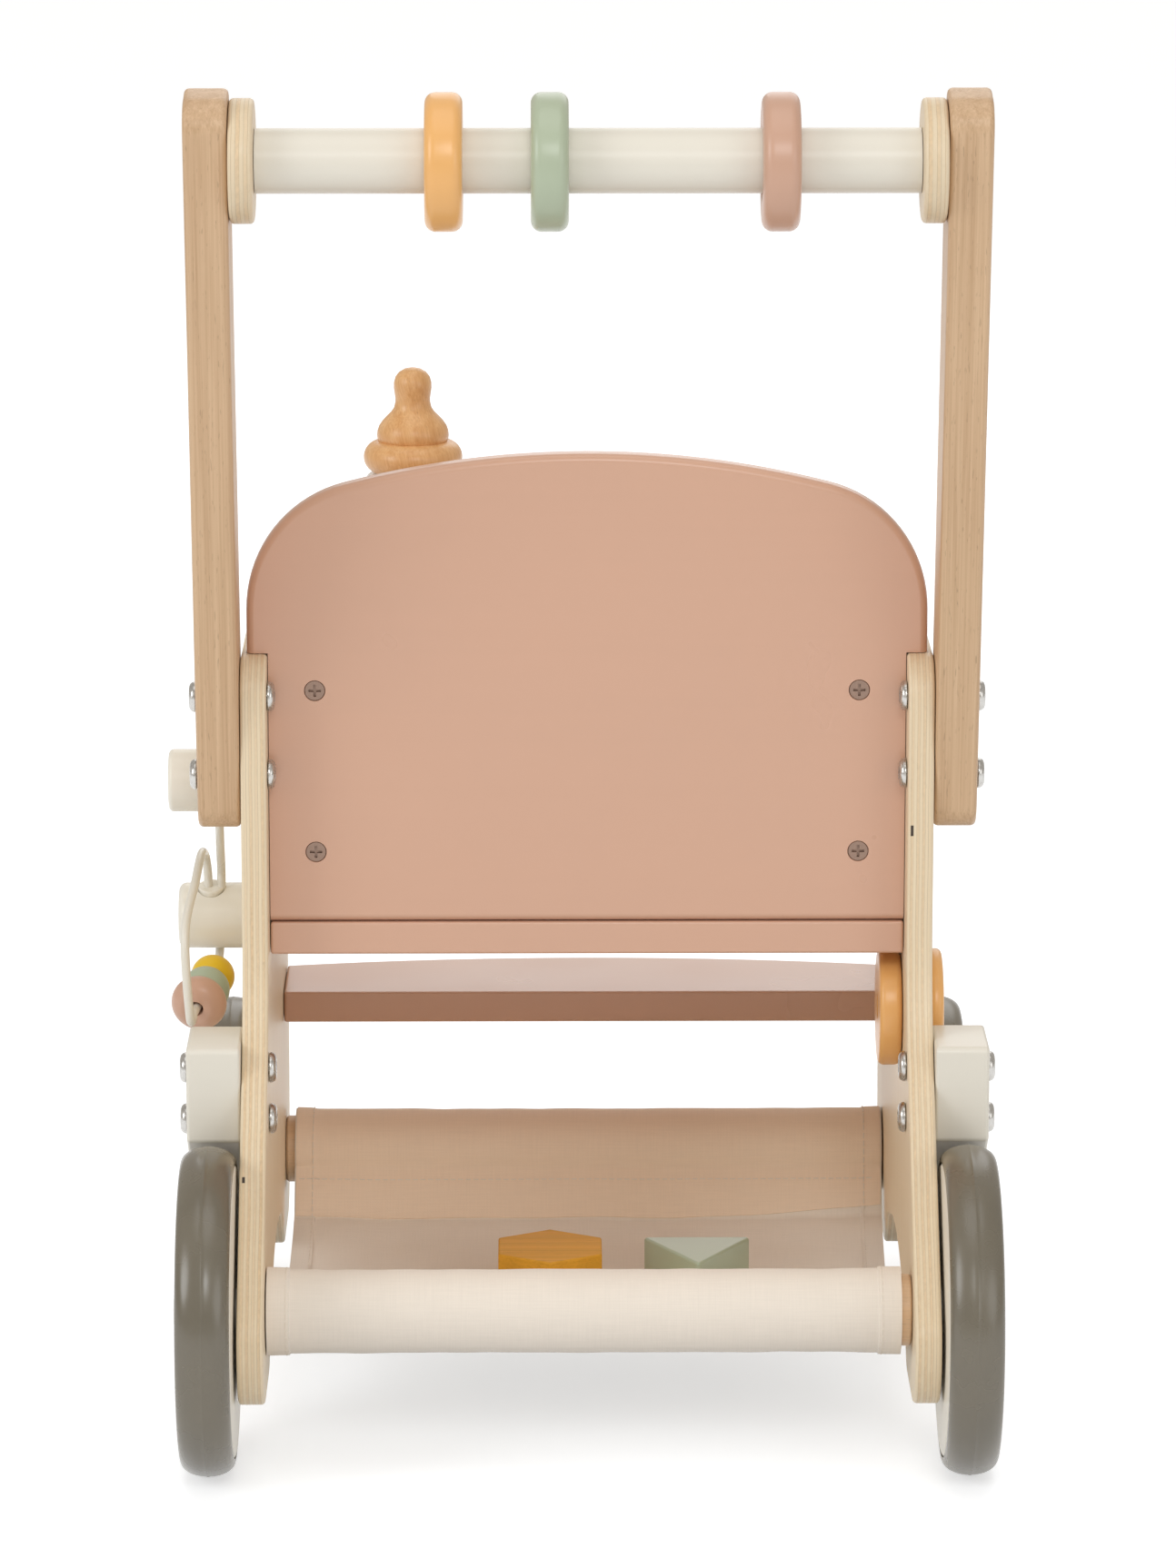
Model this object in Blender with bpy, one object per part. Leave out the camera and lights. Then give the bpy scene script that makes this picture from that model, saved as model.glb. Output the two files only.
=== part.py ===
"""Toddler push toy that is also a doll's pushchair, seen from the pushing side.

+X is to the right, +Y is forward (away from the child) and +Z is up.
The origin is on the floor, under the middle of the toy's overall box.
"""
import math

import bmesh
import bpy
from mathutils import Matrix, Vector

MM = 0.001

# Clearances and cuts that all pieces share
touch_gap = 0.3 * MM
running_gap = 0.4 * MM
cut_overrun = 2.0 * MM
merge_distance = 0.01 * MM

# Side panels, of plywood
panel_thickness = 11.0 * MM
inner_half_width = 134.6 * MM
panel_edge_round = 1.5 * MM
panel_top = 332.0 * MM
panel_rear = 62.0 * MM
panel_top_corner = 17.0 * MM
panel_waist = 187.0 * MM
panel_waist_round = 80.0 * MM
leg_reach = 38.0 * MM
leg_foot = 33.0 * MM
leg_foot_round = 27.0 * MM
leg_heel_round = 18.0 * MM
leg_toe_inset = 32.0 * MM
arch_spring = 52.0 * MM
arch_spring_inset = 50.0 * MM
arch_peak = 74.0 * MM
arch_round = 178.0 * MM
arch_spring_round = 20.0 * MM
panel_front_bulge = 9.0 * MM
panel_front_bulge_height = 108.0 * MM
panel_shoulder = 176.0 * MM
panel_shoulder_round = 24.0 * MM
arm_rest_ahead_of_seat = 7.0 * MM
arm_rest_corner = 34.0 * MM
arm_rest_foot_below_top = 142.0 * MM
arm_rest_foot_round = 46.0 * MM

# Wheels, axles and the cross dowels that carry them
wheelbase = 250.0 * MM
wheel_radius = 69.0 * MM
tyre_depth = 7.5 * MM
tyre_width = 22.4 * MM
tyre_shoulder = 5.5 * MM
hub_width = 20.5 * MM
hub_lead = 0.3 * MM
hub_edge_round = 1.5 * MM
washer_thickness = 1.2 * MM
washer_radius = 10.0 * MM
axle_radius = 4.0 * MM
axle_cap_radius = 9.0 * MM
axle_cap_height = 5.2 * MM
axle_cap_wall = 2.0 * MM
dowel_radius = 15.0 * MM

# Handle arms, bar, end discs and rings
arm_thickness = 18.0 * MM
arm_width = 36.0 * MM
arm_lean = math.radians(11.35)
arm_above_bar = 28.7 * MM
arm_overlap = 75.8 * MM
arm_corner = 13.0 * MM
arm_edge_round = 2.2 * MM
bar_behind_panel_rear = 34.0 * MM
bar_above_panel_top = 215.5 * MM
bar_radius = 13.3 * MM
bar_tenon_radius = 8.0 * MM
bar_tenon_length = 11.0 * MM
handle_disc_radius = 25.5 * MM
handle_disc_thickness = 10.0 * MM
handle_disc_round = 2.0 * MM
ring_radius = 28.3 * MM
ring_width = 15.4 * MM
ring_hole_gap = 0.9 * MM
ring_edge_round = 5.0 * MM
ring_orange_x = -58.7 * MM
ring_mint_x = -15.6 * MM
ring_pink_x = 78.3 * MM

# Seat back, its cleats and screws
seat_back_rear = 43.0 * MM
seat_back_thickness = 12.0 * MM
seat_back_overhang = 8.7 * MM
seat_back_rise = 85.0 * MM
seat_back_crown_radius = 405.0 * MM
seat_back_shoulder_radius = 55.0 * MM
seat_back_edge_round = 3.5 * MM
cleat_width = 34.0 * MM
cleat_depth = 18.0 * MM
cleat_above_seat = 17.4 * MM
cleat_below_panel_top = 5.0 * MM
cleat_edge_round = 1.5 * MM
back_screw_inset = 19.6 * MM
back_screw_foot_inset = 13.3 * MM
back_screw_top_inset = 10.8 * MM
back_screw_head_radius = 4.1 * MM
back_screw_recess_radius = 4.5 * MM
back_screw_recess_depth = 0.5 * MM
back_screw_shank_radius = 1.9 * MM
back_screw_length = 24.0 * MM
back_screw_head_height = 3.0 * MM
slot_reach_share = 0.6
slot_half_width_share = 0.16

# Boards: seat, footrest and front tray
board_thickness = 14.0 * MM
board_edge_round = 1.3 * MM
seat_top = 215.8 * MM
seat_front = 85.0 * MM
foot_below_seat = 67.6 * MM
foot_ahead_of_seat = 16.0 * MM
foot_depth_at_ends = 49.0 * MM
foot_depth_at_middle = 63.0 * MM
tray_below_panel_top = 12.0 * MM
tray_behind_seat_front = 63.0 * MM
tray_depth_at_ends = 54.0 * MM
tray_depth_at_middle = 62.0 * MM
pin_radius = 4.0 * MM
pin_in_panel = 6.0 * MM
pin_root = 3.0 * MM
pin_end_room = 0.6 * MM
pin_inset = 15.0 * MM

# Bottle and its recess in the tray
bottle_x = -74.4 * MM
bottle_ahead_of_tray_rear = 30.0 * MM
bottle_radius = 20.5 * MM
bottle_body_height = 78.0 * MM
bottle_recess_depth = 6.0 * MM
bottle_foot_round = 3.0 * MM
bottle_shoulder_round = 4.0 * MM
teat_peg_radius = 6.0 * MM
teat_peg_length = 12.0 * MM
collar_radius = 21.3 * MM
collar_height = 14.0 * MM
teat_dome_radius = 15.4 * MM
teat_dome_height = 14.0 * MM
teat_neck_radius = 7.8 * MM
teat_neck_height = 6.0 * MM
teat_bulb_radius = 8.3 * MM
teat_bulb_height = 11.6 * MM
teat_groove_depth = 1.6 * MM

# Basket sling of cotton, and the two shape blocks that lie in it
cloth_thickness = 1.6 * MM
sling_side_gap = 3.1 * MM
sling_drop = 38.0 * MM
sling_floor_half = 34.0 * MM
sling_crease_rise = 15.0 * MM
sling_crease_inset = 11.0 * MM
sling_seam_gap = 1.2 * MM
sling_edge_lift = 2.4 * MM
sling_fold_depth = 1.4 * MM
sling_fold_count = 5
sling_leave_angle = math.radians(-14)
sling_leave_shares = (0.45, 0.8)
sling_belly_shares = (1 / 3, 0.48)
sling_settle_shares = (0.7, 0.12)
block_height = 29.0 * MM
block_edge_round = 1.2 * MM
hexagon_x = -15.8 * MM
hexagon_across_flats = 45.0 * MM
triangle_x = 48.3 * MM
triangle_side = 48.0 * MM
triangle_corner_round = 1.5 * MM
shapes_y = -1.0 * MM

# Cream guard blocks over the rear wheels
guard_thickness = 22.8 * MM
guard_ahead_of_axle = 37.0 * MM
guard_depth = 40.0 * MM
guard_above_toe = 67.2 * MM
guard_toe_above_axle = 36.0 * MM
guard_tyre_gap = 3.8 * MM
guard_corner = 3.0 * MM
guard_edge_round = 1.5 * MM

# Domed connector bolts, each done up as one piece with a head at both ends
bolt_head_radius = 6.4 * MM
bolt_head_height = 3.0 * MM
bolt_shank_radius = 3.0 * MM
bolt_rim_share = 0.4
bolt_shoulder_share = 0.72
bolt_crown_share = 0.85
socket_radius = 2.4 * MM
socket_depth = 1.8 * MM
arm_bolt_from_panel_rear = 11.8 * MM
arm_bolt_above_foot = 25.8 * MM
arm_bolt_spacing = 33.3 * MM
guard_bolt_inset = 18.0 * MM
guard_bolt_above_toe = 32.2 * MM
guard_bolt_spacing = 22.3 * MM

# Bead track on the left panel
post_radius = 13.4 * MM
post_lower_extra = 0.9 * MM
post_length = 32.6 * MM
post_lower_shortening = 1.3 * MM
post_edge_round = 1.5 * MM
post_upper_y = -5.0 * MM
post_upper_below_panel_top = 62.8 * MM
post_lower_ahead_of_upper = 45.0 * MM
post_lower_drop = 70.5 * MM
post_boss_radius = 5.8 * MM
post_boss_stand_off = 17.4 * MM
post_boss_height = 0.9 * MM
post_boss_tilt = math.radians(18.6)
post_spigot_radius = 6.0 * MM
post_spigot_length = 7.0 * MM
wire_radius = 1.9 * MM
wire_socket_depth = 5.0 * MM
wire_socket_gap = 0.8 * MM
wire_straight_stand_off = 12.9 * MM
wire_straight_splay = 1.3 * MM
wire_loop_stand_off = 18.7 * MM
wire_peak_above_post = 32.8 * MM
wire_peak_behind_post = 24.0 * MM
wire_out_stand_off = 26.0 * MM
wire_out_behind_post = 64.0 * MM
wire_out_above_post = 7.3 * MM
wire_low_stand_off = 23.9 * MM
wire_low_behind_post = 71.5 * MM
wire_low_below_post = 27.2 * MM
wire_riser_ahead_of_post = 8.0 * MM
wire_riser_stand_off = 14.4 * MM
run_stand_off = 18.5 * MM
run_ahead_of_post = 5.0 * MM
run_below_post = 23.2 * MM
run_slope_x = math.radians(9.7)
run_slope_z = math.radians(10.0)
run_half_length = 24.0 * MM
wire_bend_shares = ((0.05, 0.0), (0.26, 0.12))
wire_shoulder_share = 3.0
wire_crest_share = 2.0
wire_fall_share = 4.0
riser_run_shares = (7.0, 2.4)
riser_bend_shares = (1.6, 1.3)
run_shares = (-0.6, 0.0, 0.6, 1.0)
bead_length = 13.6 * MM
bead_bore_gap = 0.6 * MM
bead_pink_radius = 12.0 * MM
bead_mint_radius = 10.3 * MM
bead_yellow_radius = 9.5 * MM
bead_gap = 0.4 * MM
bead_mouth_share = 1.5
bead_core_share = 0.45
bead_swell_sweep = 84

# Spinner: a pair of discs on one pin through the right panel
spinner_y = -19.0 * MM
spinner_below_seat = 43.5 * MM
spinner_radius = 25.0 * MM
spinner_inner_thickness = 9.6 * MM
spinner_outer_thickness = 6.2 * MM
spinner_round = 2.5 * MM
spinner_pin_radius = 5.0 * MM
spinner_pin_inset = 1.0 * MM

# Facet counts
wheel_steps = 28
round_steps = 20
bead_steps = 16
small_round_steps = 10
corner_steps = 4
crown_steps = 7
bow_steps = 10
bevel_steps = 1
soft_bevel_steps = 2
wrap_steps = 16
sling_columns = 6
route_steps = 3

# Places that follow from the sizes above
panel_outer = inner_half_width + panel_thickness
board_half = inner_half_width - touch_gap
axle_z = wheel_radius
rear_axle_y = -wheelbase / 2
front_axle_y = wheelbase / 2
arm_rest_front = seat_front + arm_rest_ahead_of_seat
arm_rest_foot = panel_top - arm_rest_foot_below_top
guard_toe = axle_z + guard_toe_above_axle
guard_top = guard_toe + guard_above_toe
guard_rear = -(rear_axle_y + guard_ahead_of_axle)
guard_bolt_y = guard_bolt_inset - guard_rear
guard_bolt_low = guard_toe + guard_bolt_above_toe
guard_bolt_high = guard_bolt_low + guard_bolt_spacing
arm_foot = panel_top - arm_overlap
arm_bolt_y = arm_bolt_from_panel_rear - panel_rear
arm_bolt_low = arm_foot + arm_bolt_above_foot
arm_bolt_high = arm_bolt_low + arm_bolt_spacing
bar_y = -panel_rear - bar_behind_panel_rear
bar_z = panel_top + bar_above_panel_top
seat_back_half_width = inner_half_width + seat_back_overhang
seat_back_top = panel_top + seat_back_rise
cleat_foot = seat_top + cleat_above_seat
cleat_top = panel_top - cleat_below_panel_top
back_screw_x = board_half - back_screw_inset
back_screw_low = cleat_foot + back_screw_foot_inset
back_screw_high = cleat_top - back_screw_top_inset
foot_top = seat_top - foot_below_seat
foot_rear = seat_front + foot_ahead_of_seat
foot_front_at_ends = foot_rear + foot_depth_at_ends
foot_front_at_middle = foot_rear + foot_depth_at_middle
tray_top = panel_top - tray_below_panel_top
tray_rear = seat_front - tray_behind_seat_front
tray_front_at_ends = tray_rear + tray_depth_at_ends
tray_front_at_middle = tray_rear + tray_depth_at_middle
bottle_y = tray_rear + bottle_ahead_of_tray_rear
sling_half_width = inner_half_width - sling_side_gap
sling_floor = axle_z - sling_drop
post_upper_z = panel_top - post_upper_below_panel_top
post_lower_z = post_upper_z - post_lower_drop
post_lower_y = post_upper_y + post_lower_ahead_of_upper
post_lower_radius = post_radius + post_lower_extra
post_boss_reach = post_lower_radius + post_boss_height
wire_foot_y = post_lower_y - post_boss_reach * math.sin(post_boss_tilt)
wire_foot_z = post_lower_z + post_boss_reach * math.cos(post_boss_tilt)
wire_straight_x = panel_outer + wire_straight_stand_off
wire_loop_x = panel_outer + wire_loop_stand_off
wire_out_x = panel_outer + wire_out_stand_off
wire_low_x = panel_outer + wire_low_stand_off
wire_riser_x = panel_outer + wire_riser_stand_off
wire_peak = post_lower_z + wire_peak_above_post
wire_peak_y = post_lower_y - wire_peak_behind_post
wire_out_y = post_lower_y - wire_out_behind_post
wire_out_z = post_lower_z + wire_out_above_post
wire_low_y = post_lower_y - wire_low_behind_post
wire_low_z = post_lower_z - wire_low_below_post
wire_riser_y = post_lower_y + wire_riser_ahead_of_post
run_x = panel_outer + run_stand_off
run_z = post_lower_z - run_below_post
spinner_z = seat_top - spinner_below_seat
guard_inner = panel_outer + touch_gap
guard_outer = guard_inner + guard_thickness
arm_inner = panel_outer + touch_gap
arm_outer = arm_inner + arm_thickness
hub_inner = panel_outer + touch_gap + washer_thickness
hub_outer = hub_inner + hub_width
tyre_inner = hub_inner + hub_lead
tyre_outer = tyre_inner + tyre_width
axle_end = hub_outer + axle_cap_height - axle_cap_wall
cap_outer = hub_outer + touch_gap + axle_cap_height
post_end = panel_outer + touch_gap + post_length
seat_back_front = seat_back_thickness - seat_back_rear
bottle_base = tray_top - bottle_recess_depth + touch_gap
ring_hole_radius = bar_radius + ring_hole_gap
centre_shift = (post_end - cap_outer) / 2

axis_turns = {
    "X": Matrix.Rotation(math.radians(90), 4, "Y"),
    "Y": Matrix.Rotation(math.radians(-90), 4, "X"),
    "Z": Matrix.Identity(4),
}


def clear_scene():
    for old in list(bpy.data.objects):
        bpy.data.objects.remove(old, do_unlink=True)


def make_material(name, colour, roughness, metallic=0.0):
    material = bpy.data.materials.new(name)
    material.use_nodes = True
    shader = material.node_tree.nodes["Principled BSDF"]
    shader.inputs["Base Color"].default_value = (*colour, 1.0)
    shader.inputs["Roughness"].default_value = roughness
    shader.inputs["Metallic"].default_value = metallic
    return material


def finish(name, bm, material, origin=(0, 0, 0)):
    """Turn a bmesh in world places into an object with its origin at a chosen point."""
    bmesh.ops.remove_doubles(bm, verts=bm.verts, dist=merge_distance)
    bmesh.ops.recalc_face_normals(bm, faces=bm.faces)
    bmesh.ops.translate(bm, verts=bm.verts, vec=-Vector(origin))
    mesh = bpy.data.meshes.new(name)
    bm.to_mesh(mesh)
    bm.free()
    mesh.shade_smooth()
    mesh.set_sharp_from_angle(angle=math.radians(35))
    thing = bpy.data.objects.new(name, mesh)
    thing.location = origin
    bpy.context.scene.collection.objects.link(thing)
    if material is not None:
        mesh.materials.append(material)
    return thing


def as_cutter(thing):
    thing.hide_render = True
    thing.display_type = "WIRE"
    return thing


def round_rims(thing, width, segments=bevel_steps):
    bevel = thing.modifiers.new("rounded_rims", "BEVEL")
    bevel.width = width
    bevel.segments = segments
    bevel.limit_method = "ANGLE"
    bevel.angle_limit = math.radians(50)


def cut(thing, cutter, operation="DIFFERENCE"):
    boolean = thing.modifiers.new(operation.lower(), "BOOLEAN")
    boolean.operation = operation
    boolean.solver = "EXACT"
    boolean.object = as_cutter(cutter)


def rounded_outline(corners, steps=corner_steps):
    """Round each (u, v, radius) corner of a closed polygon with an arc."""
    outline = []
    count = len(corners)
    for index, (u, v, radius) in enumerate(corners):
        corner = Vector((u, v))
        before = Vector(corners[index - 1][:2]) - corner
        after = Vector(corners[(index + 1) % count][:2]) - corner
        half = before.angle(after) / 2
        if radius == 0:
            outline.append(corner)
            continue
        tangent = radius / math.tan(half)
        first = corner + before.normalized() * tangent
        last = corner + after.normalized() * tangent
        middle = (before.normalized() + after.normalized()).normalized()
        centre = corner + middle * (radius / math.sin(half))
        start = first - centre
        sweep = start.angle_signed(last - centre)
        for step in range(steps + 1):
            turn = Matrix.Rotation(-sweep * step / steps, 2)
            outline.append(centre + turn @ start)
    return outline


def prism(bm, outline, axis, low, high):
    """Extrude a closed outline along one axis, from low to high."""
    places = {
        "X": lambda u, v: (low, u, v),
        "Y": lambda u, v: (u, low, v),
        "Z": lambda u, v: (u, v, low),
    }
    direction = {"X": (1, 0, 0), "Y": (0, 1, 0), "Z": (0, 0, 1)}[axis]
    verts = [bm.verts.new(places[axis](*point)) for point in outline]
    face = bm.faces.new(verts)
    grown = bmesh.ops.extrude_face_region(bm, geom=[face], use_keep_orig=True)
    moved = [item for item in grown["geom"] if isinstance(item, bmesh.types.BMVert)]
    bmesh.ops.translate(bm, verts=moved, vec=Vector(direction) * (high - low))


def turned(bm, profile, centre, axis="X", steps=small_round_steps, closed=False, turn=None):
    """Spin a profile of (radius, place along the axis) points about an axis through centre.

    A flat facet faces down, so a wheel rests on a facet and its flats touch its stated radius.
    """
    flat = 1 / math.cos(math.pi / steps)
    rotation = axis_turns[axis] if turn is None else turn
    matrix = Matrix.Translation(centre) @ rotation @ Matrix.Rotation(math.pi / steps, 4, "Z")
    points = [bm.verts.new(matrix @ Vector((radius * flat, 0, along))) for radius, along in profile]
    pairs = list(zip(points, points[1:]))
    if closed:
        pairs.append((points[-1], points[0]))
    edges = [bm.edges.new(pair) for pair in pairs]
    spin_axis = matrix.to_3x3() @ Vector((0, 0, 1))
    bmesh.ops.spin(
        bm, geom=points + edges, cent=centre, axis=spin_axis, angle=2 * math.pi, steps=steps,
        use_duplicate=False,
    )
    bmesh.ops.remove_doubles(bm, verts=bm.verts, dist=merge_distance)


def cylinder(bm, radius, low, high, centre, axis="X", steps=small_round_steps, turn=None):
    turned(bm, [(0, low), (radius, low), (radius, high), (0, high)], centre, axis, steps, turn=turn)


def quarter(centre_r, centre_h, radius_r, radius_h, start, end, steps=3):
    """Points on an elliptical arc of a turned profile, angles in degrees."""
    points = []
    for step in range(steps + 1):
        angle = math.radians(start + (end - start) * step / steps)
        points.append((centre_r + radius_r * math.cos(angle), centre_h + radius_h * math.sin(angle)))
    return points


def side_name(side):
    return "left" if side < 0 else "right"


def panel_outline():
    leg_rear = rear_axle_y - leg_reach
    leg_front = front_axle_y + leg_reach
    return rounded_outline([
        (-panel_rear, panel_top, panel_top_corner),
        (-panel_rear, panel_waist, panel_waist_round),
        (leg_rear, axle_z, leg_heel_round),
        (leg_rear, leg_foot, leg_foot_round),
        (rear_axle_y + leg_toe_inset, leg_foot, leg_foot_round / 2),
        (rear_axle_y + arch_spring_inset, arch_spring, arch_spring_round),
        (0, arch_peak, arch_round),
        (front_axle_y - arch_spring_inset, arch_spring, arch_spring_round),
        (front_axle_y - leg_toe_inset, leg_foot, leg_foot_round / 2),
        (leg_front, leg_foot, leg_foot_round),
        (leg_front + panel_front_bulge, panel_front_bulge_height, panel_waist_round),
        (leg_front, panel_shoulder, panel_shoulder_round),
        (arm_rest_front, arm_rest_foot, arm_rest_foot_round),
        (arm_rest_front, panel_top, arm_rest_corner),
    ])


def board_pins():
    """Place (y, z) of each hidden wooden pin that joins a board to the side panels."""
    seat_z = seat_top - board_thickness / 2
    foot_z = foot_top - board_thickness / 2
    tray_z = tray_top - board_thickness / 2
    return [
        (-seat_back_rear + 2 * pin_inset, seat_z),
        (seat_front - pin_inset, seat_z),
        (foot_rear + pin_inset, foot_z),
        (foot_front_at_ends - pin_inset, foot_z),
        (tray_rear + pin_inset, tray_z),
        (tray_front_at_ends - pin_inset, tray_z),
    ]


def arm_bolt_places():
    return [(arm_bolt_y, arm_bolt_low), (arm_bolt_y, arm_bolt_high)]


def guard_bolt_places():
    return [(guard_bolt_y, guard_bolt_low), (guard_bolt_y, guard_bolt_high)]


def post_places():
    return [(post_upper_y, post_upper_z), (post_lower_y, post_lower_z)]


def build_panels(ply):
    for side in (-1, 1):
        name = "side_panel_" + side_name(side)
        low, high = sorted((side * inner_half_width, side * panel_outer))
        bm = bmesh.new()
        prism(bm, panel_outline(), "X", low, high)
        panel = finish(name, bm, ply)
        round_rims(panel, panel_edge_round)
        holes = bmesh.new()
        through_low = low - cut_overrun
        through_high = high + cut_overrun
        for y in (rear_axle_y, front_axle_y):
            cylinder(holes, axle_radius + touch_gap, through_low, through_high, (0, y, axle_z))
        for y, z in arm_bolt_places() + guard_bolt_places():
            cylinder(holes, bolt_shank_radius + touch_gap, through_low, through_high, (0, y, z))
        pin_low, pin_high = sorted((
            side * (inner_half_width - cut_overrun),
            side * (inner_half_width + pin_in_panel + pin_end_room),
        ))
        for y, z in board_pins():
            cylinder(holes, pin_radius + touch_gap, pin_low, pin_high, (0, y, z))
        if side < 0:
            low_end = -(panel_outer + cut_overrun)
            high_end = -(panel_outer - post_spigot_length - pin_end_room)
            for y, z in post_places():
                cylinder(holes, post_spigot_radius + touch_gap, low_end, high_end, (0, y, z))
        else:
            hole = spinner_pin_radius + running_gap
            cylinder(holes, hole, through_low, through_high, (0, spinner_y, spinner_z))
        cut(panel, finish(name + "_holes", holes, None))


def build_wheels(rubber, cream):
    for side in (-1, 1):
        for end, y in (("rear", rear_axle_y), ("front", front_axle_y)):
            name = end + "_" + side_name(side)
            centre = (0, y, axle_z)
            build_tyre("tyre_" + name, side, centre, rubber)
            build_hub("hub_" + name, side, centre, cream)


def build_tyre(name, side, centre, rubber):
    seat = wheel_radius - tyre_depth
    shoulder = wheel_radius - tyre_shoulder
    middle = side * (tyre_inner + tyre_outer) / 2
    half = tyre_width / 2
    profile = [(seat, middle - half)] + quarter(shoulder, middle, tyre_shoulder, half, -90, 90, 4)
    profile += [(seat, middle + half)]
    bm = bmesh.new()
    turned(bm, profile, centre, steps=wheel_steps, closed=True)
    finish(name, bm, rubber, centre)


def build_hub(name, side, centre, cream):
    outer = wheel_radius - tyre_depth - touch_gap
    bore = axle_radius + running_gap
    rim = outer - hub_edge_round
    boss = side * (panel_outer + touch_gap)
    a, b = side * hub_inner, side * hub_outer
    edge = side * hub_edge_round
    profile = [
        (bore, boss), (washer_radius, boss), (washer_radius, a), (outer, a), (outer, b - edge), (rim, b),
        (bore, b),
    ]
    bm = bmesh.new()
    turned(bm, profile, centre, steps=wheel_steps, closed=True)
    finish(name, bm, cream, centre)


def build_axles(steel, beech):
    """Each axle is a rod with a domed head on the left, closed by a cap nut on the right."""
    bore = axle_radius + touch_gap
    face = hub_outer + touch_gap
    waist = face + axle_cap_wall
    crown_radius = axle_cap_radius - axle_cap_wall * 2
    shoulder_radius = axle_cap_radius - axle_cap_wall / 2
    dome = [
        (axle_cap_radius, face), (axle_cap_radius, waist), (shoulder_radius, (waist + cap_outer) / 2),
        (crown_radius, cap_outer), (0, cap_outer),
    ]
    for end, y in (("rear", rear_axle_y), ("front", front_axle_y)):
        centre = (0, y, axle_z)
        rod = bmesh.new()
        head = [(radius, -along) for radius, along in reversed(dome)]
        turned(rod, head + [(axle_radius, -face), (axle_radius, axle_end), (0, axle_end)], centre)
        finish(end + "_axle", rod, steel)
        nut = bmesh.new()
        inside = axle_end + touch_gap
        turned(nut, [(0, inside), (bore, inside), (bore, face)] + dome, centre)
        finish(end + "_axle_cap_nut", nut, steel)
        dowel = bmesh.new()
        wood = dowel_radius
        profile = [(bore, -board_half), (wood, -board_half), (wood, board_half), (bore, board_half)]
        turned(dowel, profile, centre, steps=round_steps, closed=True)
        finish("basket_dowel_" + end, dowel, beech)


def arm_point(along, across):
    """Place (y, z) on an arm, from the bar's centre: along it upward, and across it forward."""
    y = bar_y - along * math.sin(arm_lean) + across * math.cos(arm_lean)
    z = bar_z + along * math.cos(arm_lean) + across * math.sin(arm_lean)
    return y, z


def build_handle(beech, ply, cream):
    half = arm_width / 2
    foot_along = -(bar_z - arm_foot - half * math.sin(arm_lean)) / math.cos(arm_lean)
    outline = rounded_outline([
        (*arm_point(arm_above_bar, half), arm_corner),
        (*arm_point(arm_above_bar, -half), arm_corner),
        (*arm_point(foot_along, -half), arm_corner),
        (*arm_point(foot_along, half), arm_corner),
    ])
    centre = (0, bar_y, bar_z)
    disc_inner = arm_inner - touch_gap - handle_disc_thickness
    bar_half = disc_inner - touch_gap
    tenon_end = arm_inner + bar_tenon_length
    for side in (-1, 1):
        low, high = sorted((side * arm_inner, side * arm_outer))
        bm = bmesh.new()
        prism(bm, outline, "X", low, high)
        arm = finish("handle_arm_" + side_name(side), bm, beech)
        round_rims(arm, arm_edge_round, soft_bevel_steps)
        holes = bmesh.new()
        for y, z in arm_bolt_places():
            cylinder(holes, bolt_shank_radius + touch_gap, low - cut_overrun, high + cut_overrun, (0, y, z))
        socket = sorted((side * (arm_inner - cut_overrun), side * (tenon_end + pin_end_room)))
        cylinder(holes, bar_tenon_radius + touch_gap, *socket, centre)
        cut(arm, finish("handle_arm_holes_" + side_name(side), holes, None))
        bore = bar_tenon_radius + touch_gap
        edge = handle_disc_radius - handle_disc_round
        a = side * disc_inner
        b = side * (arm_inner - touch_gap)
        step = side * handle_disc_round
        rim = handle_disc_radius
        ring = [(bore, a), (edge, a), (rim, a + step), (rim, b - step), (edge, b), (bore, b)]
        disc = bmesh.new()
        turned(disc, ring, centre, steps=round_steps, closed=True)
        finish("handle_disc_" + side_name(side), disc, ply)
    bar = bmesh.new()
    profile = [
        (0, -tenon_end), (bar_tenon_radius, -tenon_end), (bar_tenon_radius, -bar_half),
        (bar_radius, -bar_half), (bar_radius, bar_half),
        (bar_tenon_radius, bar_half), (bar_tenon_radius, tenon_end), (0, tenon_end),
    ]
    turned(bar, profile, centre, steps=round_steps)
    finish("handle_bar", bar, cream)


def build_rings(colours):
    places = {"orange": ring_orange_x, "mint": ring_mint_x, "pink": ring_pink_x}
    half = ring_width / 2
    drop = ring_hole_gap - running_gap
    inner_edge = ring_edge_round / 2
    for name, x in places.items():
        edge = ring_edge_round
        profile = quarter(ring_radius - edge, half - edge, edge, edge, 0, 90, 2)
        inner = ring_hole_radius + inner_edge
        profile += quarter(inner, half - inner_edge, inner_edge, inner_edge, 90, 180, 1)
        profile += [(radius, -along) for radius, along in reversed(profile)]
        centre = (x, bar_y, bar_z - drop)
        bm = bmesh.new()
        turned(bm, profile, centre, steps=round_steps, closed=True)
        finish("ring_" + name, bm, colours[name], centre)


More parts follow.
